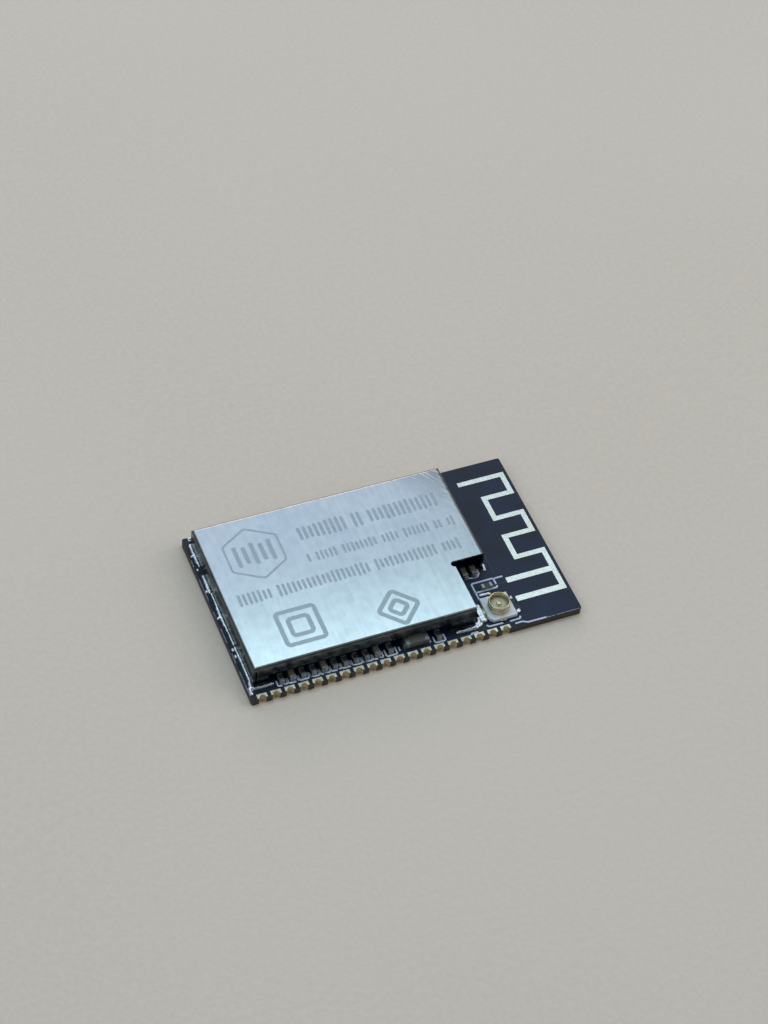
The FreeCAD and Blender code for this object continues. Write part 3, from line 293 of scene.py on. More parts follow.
LAYERED_FINISHES = {
    "tinned_steel": rolled_tin, "glass_epoxy": glass_epoxy, "gold_plate": immersion_gold,
    "solder": reflowed_solder, "resistor_body": glazed_alumina, "card": paper_floor,
}
EVEN_FINISHES = {
    # Epoxy solder mask in blue-black: satin, with copper planes a little lighter beneath.
    "solder_mask": dict(name="blue-black solder mask", dark="#040F26", light="mask", size=2.2,
                        skin=0.14, rough=(0.42, 0.52), depth=0.002, IOR=1.45),
    # Immersion tin on copper: a pale, even, slightly creamy matt metal.
    "bare_copper_finish": dict(name="pale plated copper", dark="#F4ECDB", light="antenna",
                               size=0.6, detail=3.0, skin=0.08, rough=(0.19, 0.28), depth=0.003,
                               Metallic=0.9),
    # Epoxy legend ink, screen printed: pale, with thin worn spots and a soft edge.
    "ink": dict(name="epoxy legend ink", dark="#B7C4EA", light="legend", size=0.12,
                rough=(0.5, 0.7), detail=3.0, IOR=1.5),
    # Tin burnt by a marking laser: darker, greyer and duller than the sheet about it.
    "etched": dict(name="laser-etched tin", dark="#929BA2", light="#B4BBC0", size=0.09,
                   rough=(0.32, 0.45), depth=0.003, Metallic=0.9),
    # Hard gold plate on stamped brass: smoother and richer than the board's gold.
    "gold_contact": dict(name="hard gold plate", dark="#BDB184", light="#EFE6C6", size=0.12,
                         rough=(0.16, 0.28), depth=0.0008, Metallic=1.0),
    # Copper land with a thin coat of solder: dull silver, patchy.
    "tinned_land": dict(name="solder-coated copper", dark="#9A9DA1", light="#CDD0D2", size=0.3,
                        rough=(0.28, 0.45), depth=0.004, detail=3.0, Metallic=1.0),
    # The can's copper land between solder runs: near-black, painted shade for the shadowed gaps under
    # the can's walls.
    "shade_painted_land": dict(name="flux-stained land", dark="#0E1420", light="#3A4454", size=0.35,
                        rough=(0.3, 0.5), depth=0.006, detail=3.0, Metallic=0.4),
    # Matt tin plate on a chip part's end: pale grey with a fine sandy grain.
    "tin_end": dict(name="matt tin plate", dark="#8B8E90", light="#B4B6B6", size=0.07,
                    rough=(0.35, 0.5), depth=0.003, Metallic=1.0),
    # Multilayer capacitor body: fired titanate ceramic, brown-grey and faintly glossy.
    "capacitor_body": dict(name="fired capacitor ceramic", dark="#5A544B", light="#7C7466",
                           size=0.08, rough=(0.35, 0.5), depth=0.002, IOR=1.6),
    # Sintered ferrite choke body: mid grey, fine and dull.
    "ferrite_body": dict(name="sintered grey ferrite", dark="#4C4C48", light="#6E6D66", size=0.08,
                         rough=(0.45, 0.6), depth=0.003, detail=3.0, IOR=1.6),
    # Epoxy chip package, transfer moulded: charcoal with a fine filler grain.
    "package_mould": dict(name="epoxy mould compound", dark="#17181A", light="#2A2B2D", size=0.06,
                          rough=(0.55, 0.7), depth=0.004, detail=3.0, IOR=1.5),
    # Liquid-crystal polymer, injection moulded: off-white and slightly waxy.
    "white_insulator": dict(name="moulded white polymer", dark="#E2EAF6", light="#F7FAFF",
                            size=0.5, rough=(0.35, 0.5), depth=0.003, IOR=1.5),
    # The same polymer in the jack's ring, toasted by reflow: a warm cream.
    "cream_insulator": dict(name="toasted white polymer", dark="#D9CFB8", light="#F2EBDB",
                            size=0.4, rough=(0.4, 0.5), depth=0.003, IOR=1.5),
    # Alumina package of the crystals: dark brown-grey fired ceramic.
    "crystal_ceramic": dict(name="fired alumina package", dark="#3A332E", light="#554B43",
                            size=0.07, rough=(0.5, 0.65), IOR=1.7),
    # Nickel-plated alloy lid, seam welded: pale, slightly yellow and satin.
    "crystal_lid": dict(name="nickel-plated alloy", dark="#B5B2AA", light="#D3D0C6", size=0.1,
                        rough=(0.25, 0.4), stretch=(1, 8, 1), Metallic=1.0),
    # Solder mask over a copper track: thinner on its edges, so bluer and a little lighter.
    "raised_mask": dict(name="solder mask over copper", dark="#0B1838", light="#1B2C5A",
                        size=0.14, rough=(0.34, 0.44), depth=0.002, IOR=1.5),
    # Pale, blue-grey, broken strips along the routed edge: painted highlight.
    "edge_highlight": dict(name="frayed glass epoxy", dark="#3C4870", light="#C4D0EA", size=0.16,
                   rough=(0.5, 0.7), depth=0.01, detail=3.0, IOR=1.5),
    # Plating worn bright along its raised rim: a pale gold that shines almost white.
    "bright_rim": dict(name="bright plated rim", dark="#E9DFC4", light="#FFFBF0", size=0.12,
                       rough=(0.3, 0.45), depth=0.002, Metallic=1.0),
}
made_finishes = {}


def finish(key):
    """The material of one finish, made on first use."""
    if key not in made_finishes:
        if key in EVEN_FINISHES:
            made_finishes[key] = even_finish(**EVEN_FINISHES[key])
        else:
            made_finishes[key] = LAYERED_FINISHES[key]()
    return made_finishes[key]


SLOT_OF_NODE = {part["node"]: part["material_slot"] for part in frame["record"]["subparts"]}


# --- Pieces and geometry trees --------------------------------------------------------------

def spot(x, y, z=0.0):
    """A point given in millimetres from the board's near left corner, and above its mask."""
    return Vector((BOARD_LOW.x + x * MM, BOARD_LOW.y + y * MM, MASK_FACE + z * MM))


def path(*places):
    """A run of points on the mask, each given as (x, y) in millimetres."""
    return [spot(x, y) for x, y in places]


def under_spot(x, y, z=0.0):
    """A point given in millimetres from the board's near left corner, and below its lower mask."""
    return Vector((BOARD_LOW.x + x * MM, BOARD_LOW.y + y * MM, UNDER_FACE - z * MM))


def keep_piece(name, mesh, key, smooth=False, replaced=()):
    """Makes a finished mesh a piece of the module, riding on its one body."""
    piece = bpy.data.objects.new(name, mesh)
    bpy.context.collection.objects.link(piece)
    mesh.materials.clear()
    mesh.materials.append(finish(key))
    mesh.polygons.foreach_set("use_smooth", [smooth] * len(mesh.polygons))
    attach(piece, BODY)
    if replaced:
        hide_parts(*replaced)
    return piece


def seed_mesh(name, points, edges=(), **numbers):
    """Loose points and edges that a geometry tree grows from, with one named number each."""
    mesh = bpy.data.meshes.new(name)
    mesh.from_pydata(points, edges, [])
    for label, values in numbers.items():
        attribute = mesh.attributes.new(label, "FLOAT", "POINT")
        attribute.data.foreach_set("value", values)
    return mesh


def new_tree(name, sizes):
    """A geometry tree with a mesh in, the named sizes in, and a mesh out."""
    tree = bpy.data.node_groups.new(name, "GeometryNodeTree")
    tree.interface.new_socket("Mesh", in_out="INPUT", socket_type="NodeSocketGeometry")
    for label, default in sizes.items():
        kind = "NodeSocketInt" if isinstance(default, int) else "NodeSocketFloat"
        tree.interface.new_socket(label, in_out="INPUT", socket_type=kind).default_value = default
    tree.interface.new_socket("Mesh", in_out="OUTPUT", socket_type="NodeSocketGeometry")
    return tree, add(tree, "NodeGroupInput")


def close_tree(tree, geometry, key):
    """Ends a tree: instances made real, and the finish set."""
    real = add(tree, "GeometryNodeRealizeInstances", {"Geometry": geometry})
    painted = add(tree, "GeometryNodeSetMaterial", {"Geometry": real,
                                                    "Material": finish(key)})
    add(tree, "NodeGroupOutput", {"Mesh": painted})


def number_of_point(tree, label):
    """The named number that seed_mesh stored on each point."""
    return add(tree, "GeometryNodeInputNamedAttribute", {"Name": label}, data_type="FLOAT")


def grow(tree, seed, sizes=None):
    """Runs a tree on a seed mesh and returns the result as a plain mesh."""
    maker = bpy.data.objects.new(seed.name, seed)
    bpy.context.collection.objects.link(maker)
    modifier = maker.modifiers.new("tree", "NODES")
    modifier.node_group = tree
    for item in tree.interface.items_tree:
        if item.in_out == "INPUT" and item.name in (sizes or {}):
            modifier[item.identifier] = sizes[item.name]
    mesh = bpy.data.meshes.new_from_object(
        maker.evaluated_get(bpy.context.evaluated_depsgraph_get()))
    bpy.data.objects.remove(maker)
    if not mesh.polygons:
        raise RuntimeError(f"{seed.name} grew no faces")
    return mesh


def line_seed(name, runs):
    """Runs of points joined by edges, one path for each run; a run that closes repeats its start."""
    points, edges = [], []
    for run in runs:
        first = len(points)
        closed = (run[0] - run[-1]).length < 1e-9
        kept = run[:-1] if closed else run
        points += kept
        edges += [(first + i, first + i + 1) for i in range(len(kept) - 1)]
        if closed:
            edges.append((len(points) - 1, first))
    return seed_mesh(name, points, edges)


def ribbon_tree(name, key):
    """Flat ribbons along paths: ink lines, etched lines and raised tracks."""
    tree, start = new_tree(name, {"Width": 0.1 * MM, "Thickness": 0.01 * MM, "Corner": 0.1 * MM})
    paths = add(tree, "GeometryNodeMeshToCurve", {"Mesh": start.outputs["Mesh"]})
    bent = add(tree, "GeometryNodeFilletCurve",
               {"Curve": paths, "Radius": start.outputs["Corner"], "Limit Radius": True,
                "Count": 5}, mode="POLY")
    level = add(tree, "GeometryNodeSetCurveNormal", {"Curve": bent}, mode="Z_UP")
    section = add(tree, "GeometryNodeCurvePrimitiveQuadrilateral",
                  {"Width": start.outputs["Width"], "Height": start.outputs["Thickness"]})
    ribbon = add(tree, "GeometryNodeCurveToMesh",
                 {"Curve": level, "Profile Curve": section, "Fill Caps": True})
    close_tree(tree, ribbon, key)
    return tree


def bead_tree():
    """Solder beads: a drop at each point, run together, slumped, rippled and flat underneath."""
    tree, start = new_tree("solder beads", {"Grain": 0.028 * MM, "Slump": 0.75, "Ripple": 0.03 * MM,
                                            "Floor": 0.0})
    size = number_of_point(tree, "drop")
    drops = add(tree, "GeometryNodeMeshToPoints", {"Mesh": start.outputs["Mesh"], "Radius": size})
    cloud = add(tree, "GeometryNodePointsToVolume",
                {"Points": drops, "Radius": size, "Density": 1.0,
                 "Voxel Size": start.outputs["Grain"]}, resolution_mode="VOXEL_SIZE")
    skin = add(tree, "GeometryNodeVolumeToMesh",
               {"Volume": cloud, "Voxel Size": start.outputs["Grain"], "Threshold": 0.1},
               resolution_mode="VOXEL_SIZE")
    place = add(tree, "GeometryNodeInputPosition")
    soft = add(tree, "GeometryNodeBlurAttribute", {"Value": place, "Iterations": 3},
               data_type="FLOAT_VECTOR")
    smooth = add(tree, "GeometryNodeSetPosition", {"Geometry": skin, "Position": soft})
    noise = add(tree, "ShaderNodeTexNoise", {"Vector": place, "Scale": 1 / (0.35 * MM), "Detail": 2.0})
    swing = add(tree, "ShaderNodeMath", {0: noise, 1: 0.5}, operation="SUBTRACT")
    push = add(tree, "ShaderNodeMath", {0: swing, 1: start.outputs["Ripple"]}, operation="MULTIPLY")
    facing = add(tree, "GeometryNodeInputNormal")
    outward = add(tree, "ShaderNodeVectorMath", {0: facing, "Scale": push}, operation="SCALE")
    rippled = add(tree, "GeometryNodeSetPosition", {"Geometry": smooth, "Offset": outward})
    parts = add(tree, "ShaderNodeSeparateXYZ", {"Vector": add(tree, "GeometryNodeInputPosition")})
    above = add(tree, "ShaderNodeMath", {0: parts.outputs["Z"], 1: start.outputs["Floor"]},
                operation="SUBTRACT")
    sunk = add(tree, "ShaderNodeMath", {0: above, 1: start.outputs["Slump"],
                                        2: start.outputs["Floor"]}, operation="MULTIPLY_ADD")
    kept = add(tree, "ShaderNodeMath", {0: sunk, 1: start.outputs["Floor"]}, operation="MAXIMUM")
    resting = add(tree, "ShaderNodeCombineXYZ",
                  {"X": parts.outputs["X"], "Y": parts.outputs["Y"], "Z": kept})
    flat = add(tree, "GeometryNodeSetPosition", {"Geometry": rippled, "Position": resting})
    close_tree(tree, flat, "solder")
    return tree


BEAD_STEP = 0.06  # millimetres between the drops of a bead
CAN_LIFT, JACK_LIFT = 0.03, 0.12  # millimetres from the mask up to a drop's middle


def bead_seed(name, strokes, lift):
    """Points with a drop size along each stroke (x, y, drop) to (x, y, drop), in millimetres."""
    points, sizes = [], []
    for (x0, y0, drop0), (x1, y1, drop1) in strokes:
        steps = max(1, round(math.hypot(x1 - x0, y1 - y0) / BEAD_STEP))
        for step in range(steps + 1):
            share = step / steps
            points.append(spot(x0 + (x1 - x0) * share, y0 + (y1 - y0) * share, lift))
            sizes.append((drop0 + (drop1 - drop0) * share) * MM)
    return seed_mesh(name, points, drop=sizes)


# --- Stage ----------------------------------------------------------------------------------

CAMERA_PLACE = Vector((-59.72, -113.87, 163.04)) * MM
CAMERA_AIM = Vector((2.89, 6.47, 0.92)) * MM
CAMERA_ROLL = math.radians(7.165)
CAMERA_LENS = 81.384
CAMERA_NEAR, CAMERA_FAR = 0.005, 20.0  # metres: nothing outside these is drawn
FLOOR_SIDE = 4.0  # metres
UNDER_LIGHT = 1.2  # radiance of the panel that shows the underside through the floor's opening
LEFT_SHARE = 0.55  # the left light's radiance, as a share of the right one's
REST_RIM = 0.5  # millimetres of floor under the board's rim, round an opening hidden beneath it
PANELS = (  # name, azimuth, elevation, metres away, width and height in degrees, colour
    ("high window", -1, 72, 0.6, (68, 26), "#D0F3FF"),
    ("low window", -6, 38, 0.6, (70, 40), "#CBE4FF"),
    ("right light", 100, 35, 0.7, (45, 40), "#F4F1F0"),
    ("left light", -100, 35, 0.7, (45, 40), "#F4F1F0"),
    ("far light", 10, 20, 0.9, (50, 16), "#FFDAC6"),
    ("under light", 0, -60, 0.6, (50, 50), "#F4F4F4"),
)


def place_camera():
    """The camera looks down across the near long edge, tipped a little clockwise."""
    data = bpy.data.cameras.new("camera")
    data.lens = CAMERA_LENS
    data.clip_start = CAMERA_NEAR
    data.clip_end = CAMERA_FAR
    camera = bpy.data.objects.new("camera", data)
    bpy.context.collection.objects.link(camera)
    forward = (CAMERA_AIM - CAMERA_PLACE).normalized()
    level = forward.cross(Vector((0, 0, 1))).normalized()
    upright = level.cross(forward)
    right = level * math.cos(CAMERA_ROLL) + upright * math.sin(CAMERA_ROLL)
    up = right.cross(forward)
    turn = Matrix((right, up, -forward)).transposed()
    camera.matrix_world = Matrix.Translation(CAMERA_PLACE) @ turn.to_4x4()
    bpy.context.scene.camera = camera


def place_panel(name, azimuth, elevation, distance, spread, colour, radiance):
    """A soft panel facing the module; azimuth runs from straight behind towards the right.

    The spread is the panel's whole width and height, in degrees, as seen from the module.
    """
    data = bpy.data.lights.new(name, "AREA")
    data.shape = "RECTANGLE"
    data.size, data.size_y = (2 * distance * math.tan(math.radians(angle / 2)) for angle in spread)
    data.energy = radiance * math.pi * data.size * data.size_y
    data.color = linear(colour)
    turn, rise = math.radians(azimuth), math.radians(elevation)
    away = Vector((math.sin(turn) * math.cos(rise), math.cos(turn) * math.cos(rise),
                   math.sin(rise)))
    panel = bpy.data.objects.new(name, data)
    panel.location = away * distance
    panel.rotation_mode = "QUATERNION"
    panel.rotation_quaternion = (-away).to_track_quat("-Z", "Y")
    bpy.context.collection.objects.link(panel)


class MODULE_OT_stage(bpy.types.Operator):
    """Lay the floor, hang the lights and place the camera"""
    bl_idname = "module.stage"
    bl_label = "Stage"

    def execute(self, context):
        look = context.scene.module_look
        mesh = bpy.data.meshes.new("floor")
        half = FLOOR_SIDE / 2
        wide, deep = (BOARD_HIGH - BOARD_LOW).xy / 2 - Vector((REST_RIM, REST_RIM)) * MM
        corners = [(x * across, y * along, 0) for across, along in ((half, half), (wide, deep))
                   for x, y in ((-1, -1), (1, -1), (1, 1), (-1, 1))]
        mesh.from_pydata(corners, [], [(i, (i + 1) % 4, 4 + (i + 1) % 4, 4 + i) for i in range(4)])
        floor = bpy.data.objects.new("floor", mesh)
        floor.data.materials.append(finish("card"))
        context.collection.objects.link(floor)
        radiances = (look.high_window, look.low_window, look.side_light,
                     look.side_light * LEFT_SHARE, look.far_light, UNDER_LIGHT)
        for panel, radiance in zip(PANELS, radiances):
            place_panel(*panel, radiance)
        world = bpy.data.worlds.new("studio air")
        world.use_nodes = True
        air = world.node_tree.nodes["Background"]
        air.inputs["Color"].default_value = shade("#C9D6DA")
        air.inputs["Strength"].default_value = look.air_strength
        context.scene.world = world
        context.scene.view_settings.view_transform = "Standard"
        place_camera()
        return {"FINISHED"}


# --- Finishes on the CAD parts --------------------------------------------------------------

# The lands under the can and the jack take the near-black land finish: painted shade.
SPECIAL_FINISH = {"shield_lands": "shade_painted_land", "coax_lands": "shade_painted_land"}


class MODULE_OT_finishes(bpy.types.Operator):
    """Give every CAD part the finish of its material slot"""
    bl_idname = "module.finishes"
    bl_label = "Finishes"

    def execute(self, context):
        for name, part in frame["nodes"].items():
            part.data.materials.clear()
            part.data.materials.append(finish(SPECIAL_FINISH.get(name, SLOT_OF_NODE[name])))
        return {"FINISHED"}


# --- Solder ---------------------------------------------------------------------------------

CAN_SOLDER = (  # along the foot of the can's walls: left wall, near feet, right wall and corners
    ((0.5, 17.6, 0.16), (0.5, 16.65, 0.21)), ((0.51, 16.45, 0.21), (0.5, 15.6, 0.19)),
    ((0.48, 16.4, 0.18), (0.24, 16.36, 0.13)), ((0.52, 15.55, 0.14), (0.52, 15.12, 0.11)),
    ((0.25, 14.8, 0.13), (0.27, 14.7, 0.11)), ((0.48, 13.9, 0.18), (0.48, 12.5, 0.22)),
    ((0.2, 12.22, 0.16), (0.26, 12.16, 0.15)), ((0.48, 12.16, 0.21), (0.46, 12.06, 0.17)),
    ((0.53, 11.9, 0.1), (0.52, 10.3, 0.11)), ((0.5, 10.2, 0.18), (0.48, 9.4, 0.19)),
    ((0.44, 9.2, 0.18), (0.16, 9.08, 0.13)), ((0.48, 9.2, 0.18), (0.48, 8.3, 0.16)),
    ((0.51, 8.2, 0.13), (0.51, 7.6, 0.12)), ((0.52, 7.4, 0.1), (0.52, 6.0, 0.11)),
    ((0.26, 5.55, 0.15), (0.28, 5.42, 0.14)), ((0.26, 4.8, 0.15), (0.27, 4.68, 0.13)),
    ((0.52, 5.7, 0.12), (0.52, 1.9, 0.13)), ((0.46, 1.75, 0.18), (0.42, 1.2, 0.25)),
    ((0.28, 1.15, 0.18), (0.2, 0.62, 0.16)), ((0.72, 18.36, 0.16), (0.9, 18.36, 0.14)),
    ((0.5, 1.1, 0.2), (1.1, 1.06, 0.17)), ((1.1, 1.06, 0.17), (2.25, 1.1, 0.17)),
    ((19.6, 1.02, 0.17), (20.6, 1.0, 0.22)), ((20.6, 1.0, 0.22), (21.3, 1.05, 0.28)),
    ((21.3, 1.05, 0.28), (21.8, 1.3, 0.33)), ((21.82, 1.3, 0.32), (21.9, 1.75, 0.24)),
    ((24.62, 6.72, 0.18), (24.74, 7.2, 0.17)),
)

JACK_SLUMP = 0.6  # the height that a drop keeps, as a share of its full height
JACK_SOLDER = (  # over the two ground tabs, the signal tab and the far land
    ((22.15, 1.5, 0.24), (22.2, 3.0, 0.26)), ((22.38, 1.5, 0.26), (22.42, 3.05, 0.24)),
    ((25.6, 1.42, 0.17), (25.72, 1.5, 0.18)), ((25.6, 2.98, 0.13), (25.66, 3.1, 0.12)),
    ((23.84, 0.96, 0.12), (24.21, 0.96, 0.12)), ((23.1, 4.12, 0.17), (23.95, 4.08, 0.14)),
)


class MODULE_OT_solder(bpy.types.Operator):
    """Run the solder along the can's feet and over the jack's tabs"""
    bl_idname = "module.solder"
    bl_label = "Solder beads"

    def execute(self, context):
        look = context.scene.module_look
        tree = bead_tree()
        sizes = {"Grain": look.solder_grain, "Ripple": look.solder_ripple, "Floor": LAND_FACE}
        can = grow(tree, bead_seed("can solder", CAN_SOLDER, CAN_LIFT), sizes)
        keep_piece("can_foot_solder", can, "solder", True, ["shield_solder"])
        sizes["Slump"] = JACK_SLUMP
        jack = grow(tree, bead_seed("jack solder", JACK_SOLDER, JACK_LIFT), sizes)
        keep_piece("jack_tab_solder", jack, "solder", True, ["coax_solder"])
        return {"FINISHED"}


# --- Chip joints ----------------------------------------------------------------------------

# Sizes are in millimetres, and places run from the board's near left corner.
ROW_CHIPS = 10
ROW_FIRST = 3.1
ROW_PITCH = 0.983
ROW_Y = 1.35
LATE_CHIPS = (13.197, 17.797)
TALL_CHIPS = (2, 5, 10)
LONG_CHIP_X = 15.647
FEED_CHIP = (24.03, 4.84)
NOTCH_CHIPS = ((22.6, 6.8), (23.5, 6.8))
LOW_END = (1.0, 0.44, 0.22)  # a chip's length, and its joint's breadth and height
TALL_END = (1.0, 0.5, 0.3)
LONG_END = (2.2, 1.1, 0.42)
JOINT_REACH = 0.14
FILLET_STEPS = 5
FILLET_TAPER, FILLET_TOE = 0.25, 0.02  # shares of a fillet's breadth lost, and height left, at its toe


def fillet_mesh():
    """A unit solder fillet: a hollow curve from a cap's end face out to the land's edge."""
    rim = [(0.0, 0.0)]
    for step in range(FILLET_STEPS + 1):
        out = step / FILLET_STEPS
        rim.append((out, 1 - math.sqrt(1 - (1 - out) ** 2)))
    points, faces = [], []
    for side in (-0.5, 0.5):
        for out, up in rim:
            points.append((out, side * (1 - FILLET_TAPER * out), max(up, FILLET_TOE)))
    count = len(rim)
    for i in range(count):
        j = (i + 1) % count
        faces.append((i, j, count + j, count + i))
    faces.append(tuple(range(count - 1, -1, -1)))
    faces.append(tuple(range(count, 2 * count)))
    mesh = bpy.data.meshes.new("fillet")
    mesh.from_pydata(points, [], faces)
    work = bmesh.new()
    work.from_mesh(mesh)
    bmesh.ops.recalc_face_normals(work, faces=work.faces)
    work.to_mesh(mesh)
    work.free()
    return mesh


def joint_tree(fillet):
    """Sets one fillet at each point, turned and sized by the point's own numbers."""
    tree, start = new_tree("chip joints", {"Swell": 1.0})
    info = add(tree, "GeometryNodeObjectInfo", {"Object": fillet})
    turn = add(tree, "ShaderNodeCombineXYZ", {"Z": number_of_point(tree, "turn")})
    size = add(tree, "ShaderNodeCombineXYZ", {"X": number_of_point(tree, "reach"),
                                              "Y": number_of_point(tree, "breadth"),
                                              "Z": number_of_point(tree, "height")})
    swollen = add(tree, "ShaderNodeVectorMath", {0: size, "Scale": start.outputs["Swell"]},
                  operation="SCALE")
    rotation = add(tree, "FunctionNodeEulerToRotation", {"Euler": turn})
    placed = add(tree, "GeometryNodeInstanceOnPoints",
                 {"Points": start.outputs["Mesh"], "Instance": info.outputs["Geometry"],
                  "Rotation": rotation, "Scale": swollen})
    close_tree(tree, placed, "tin_end")
    return tree


def chip_ends():
    """Place, turn, reach, breadth and height of the joint at each visible chip end."""
    ends = []

    def both(x, y, end, along_x=False):
        length, breadth, height = end
        for sign in (-1, 1):
            dx, dy = (sign * length / 2, 0) if along_x else (0, sign * length / 2)
            ends.append((spot(x + dx, y + dy, 0.02), math.atan2(dy, dx), JOINT_REACH, breadth,
                         height))

    for number in range(ROW_CHIPS):
        both(ROW_FIRST + number * ROW_PITCH, ROW_Y,
             TALL_END if number + 1 in TALL_CHIPS else LOW_END)
    for x in LATE_CHIPS:
        both(x, ROW_Y, LOW_END)
    both(LONG_CHIP_X, ROW_Y, LONG_END, along_x=True)
    both(*FEED_CHIP, LOW_END, along_x=True)
    for x, y in NOTCH_CHIPS:
        both(x, y, TALL_END)
    return ends


class MODULE_OT_joints(bpy.types.Operator):
    """Set a hollow solder fillet at both ends of every outer chip part"""
    bl_idname = "module.joints"
    bl_label = "Chip joints"

    def execute(self, context):
        unit = bpy.data.objects.new("unit fillet", fillet_mesh())
        ends = chip_ends()
        columns = list(zip(*ends))
        seed = seed_mesh("chip joints", columns[0], turn=columns[1],
                         reach=[n * MM for n in columns[2]], breadth=[n * MM for n in columns[3]],
                         height=[n * MM for n in columns[4]])
        mesh = grow(joint_tree(unit), seed)
        bpy.data.objects.remove(unit)
        keep_piece("chip_solder_joints", mesh, "tin_end", True)
        return {"FINISHED"}


# --- Edge terminals -------------------------------------------------------------------------

BOARD_WIDTH = (BOARD_HIGH.y - BOARD_LOW.y) / MM
TERMINALS = 19
TERMINAL_FIRST = 1.0
TERMINAL_PITCH = 1.27
RIM_OPEN = 0.25  # radians that a rim falls short of a half turn


def ring_tree(name, key, whole, sizes):
    """Thin raised rings, one at each point: whole ones, or half ones that open one way."""
    tree, start = new_tree(name, sizes)
    if whole:
        curve = add(tree, "GeometryNodeCurvePrimitiveCircle",
                    {"Resolution": 10, "Radius": start.outputs["Ring"]})
    else:
        curve = add(tree, "GeometryNodeCurveArc",
                    {"Resolution": 9, "Radius": start.outputs["Ring"],
                     "Start Angle": RIM_OPEN / 2, "Sweep Angle": math.pi - RIM_OPEN})
    section = add(tree, "GeometryNodeCurvePrimitiveCircle",
                  {"Resolution": 6, "Radius": start.outputs["Bead"]})
    ring = add(tree, "GeometryNodeCurveToMesh",
               {"Curve": curve, "Profile Curve": section, "Fill Caps": not whole})
    turn = add(tree, "ShaderNodeCombineXYZ", {"Z": number_of_point(tree, "turn")})
    rotation = add(tree, "FunctionNodeEulerToRotation", {"Euler": turn})
    placed = add(tree, "GeometryNodeInstanceOnPoints",
                 {"Points": start.outputs["Mesh"], "Instance": ring, "Rotation": rotation})
    close_tree(tree, placed, key)
    return tree


class MODULE_OT_rims(bpy.types.Operator):
    """Raise the plating's rim round every half hole"""
    bl_idname = "module.rims"
    bl_label = "Plating rims"

    def execute(self, context):
        points, turns = [], []
        for number in range(TERMINALS):
            x = TERMINAL_FIRST + number * TERMINAL_PITCH
            for y, turn in ((0.0, 0.0), (BOARD_WIDTH, math.pi)):
                points.append(spot(x, y, 0.01))
                turns.append(turn)
        tree = ring_tree("plating rims", "bright_rim", False, {"Ring": 0.34 * MM, "Bead": 0.05 * MM})
        mesh = grow(tree, seed_mesh("plating rims", points, turn=turns))
        keep_piece("terminal_rims", mesh, "bright_rim", True)
        return {"FINISHED"}


# --- Tracks and vias under the mask ---------------------------------------------------------

UNDER_START = 0.7  # millimetres from a long edge to where its tracks begin
FENCE_X, FENCE_FIRST = 25.02, 6.9
FENCE_ROWS = 13
FENCE_PITCH = 0.86
THERMAL_SIDE = 5
THERMAL_PITCH = 1.12
VIA_SUNK = 0.012  # millimetres: how deep an open via's ring is set into the ground pad


def top_tracks():
    """Raised runs from the edge terminals to the chip row, the feed and the ground plane's edge."""
    runs = []
    for number in range(2, 10):
        pin = TERMINAL_FIRST + number * TERMINAL_PITCH
        chip = ROW_FIRST + (number - 2) * ROW_PITCH * (ROW_CHIPS - 1) / 7
        runs.append(path((pin, 0.4), (pin, 0.5), (chip, 0.6), (chip, 0.8)))
    feed = path((24.5, 4.84), (25.7, 4.84), (26.15, 4.99))
    plane_edge = path((25.3, 6.1), (25.3, 18.1))
    return [*runs, feed, plane_edge]


def under_track(number, far):
    """A run from an edge terminal to its own via, on the underside."""
    x = TERMINAL_FIRST + number * TERMINAL_PITCH
    first, second = 1.2 + 0.35 * (number % 4), 0.5 + 0.3 * (number % 3)
    rows = (UNDER_START, UNDER_START + first, UNDER_START + first + second)
    rows = [BOARD_WIDTH - row for row in rows] if far else rows
    lean = second if number % 2 else -second * 0.6
    return [under_spot(x, rows[0]), under_spot(x, rows[1]), under_spot(x + lean, rows[2])]


def under_runs():
    """Every track on the underside."""
    return [under_track(number, far) for number in range(TERMINALS) for far in (False, True)]


class MODULE_OT_tracks(bpy.types.Operator):
    """Raise the copper tracks that show through the mask on both faces"""
    bl_idname = "module.tracks"
    bl_label = "Tracks"

    def execute(self, context):
        tree = ribbon_tree("mask tracks", "raised_mask")
        sizes = {"Width": 0.16 * MM, "Thickness": 0.02 * MM, "Corner": 0.1 * MM}
        keep_piece("top_tracks", grow(tree, line_seed("top tracks", top_tracks()), sizes),
                   "raised_mask")
        keep_piece("under_tracks", grow(tree, line_seed("under tracks", under_runs()), sizes),
                   "raised_mask")
        return {"FINISHED"}


class MODULE_OT_vias(bpy.types.Operator):
    """Dot both faces with vias under the mask, and the ground pad with open ones"""
    bl_idname = "module.vias"
    bl_label = "Vias"

    def execute(self, context):
        fence = [FENCE_FIRST + row * FENCE_PITCH for row in range(FENCE_ROWS)]
        tented = [spot(FENCE_X, y) for y in fence] + [under_spot(FENCE_X, y) for y in fence]
        tented += [run[-1] for run in under_runs()]
        tree = ring_tree("tented vias", "raised_mask", True, {"Ring": 0.15 * MM, "Bead": 0.03 * MM})
        mesh = grow(tree, seed_mesh("tented vias", tented, turn=[0.0] * len(tented)))
        keep_piece("tented_vias", mesh, "raised_mask", True)
        low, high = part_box("underside_ground_pad")
        middle = (low + high) / 2
        half = (THERMAL_SIDE - 1) / 2
        spread = [(step - half) * THERMAL_PITCH * MM for step in range(THERMAL_SIDE)]
        level = low.z + VIA_SUNK * MM
        points = [Vector((middle.x + dx, middle.y + dy, level)) for dx in spread for dy in spread]
        tree = ring_tree("open vias", "gold_plate", True, {"Ring": 0.15 * MM, "Bead": 0.02 * MM})
        mesh = grow(tree, seed_mesh("open vias", points, turn=[0.0] * len(points)))
        keep_piece("thermal_vias", mesh, "gold_plate", True)
        return {"FINISHED"}
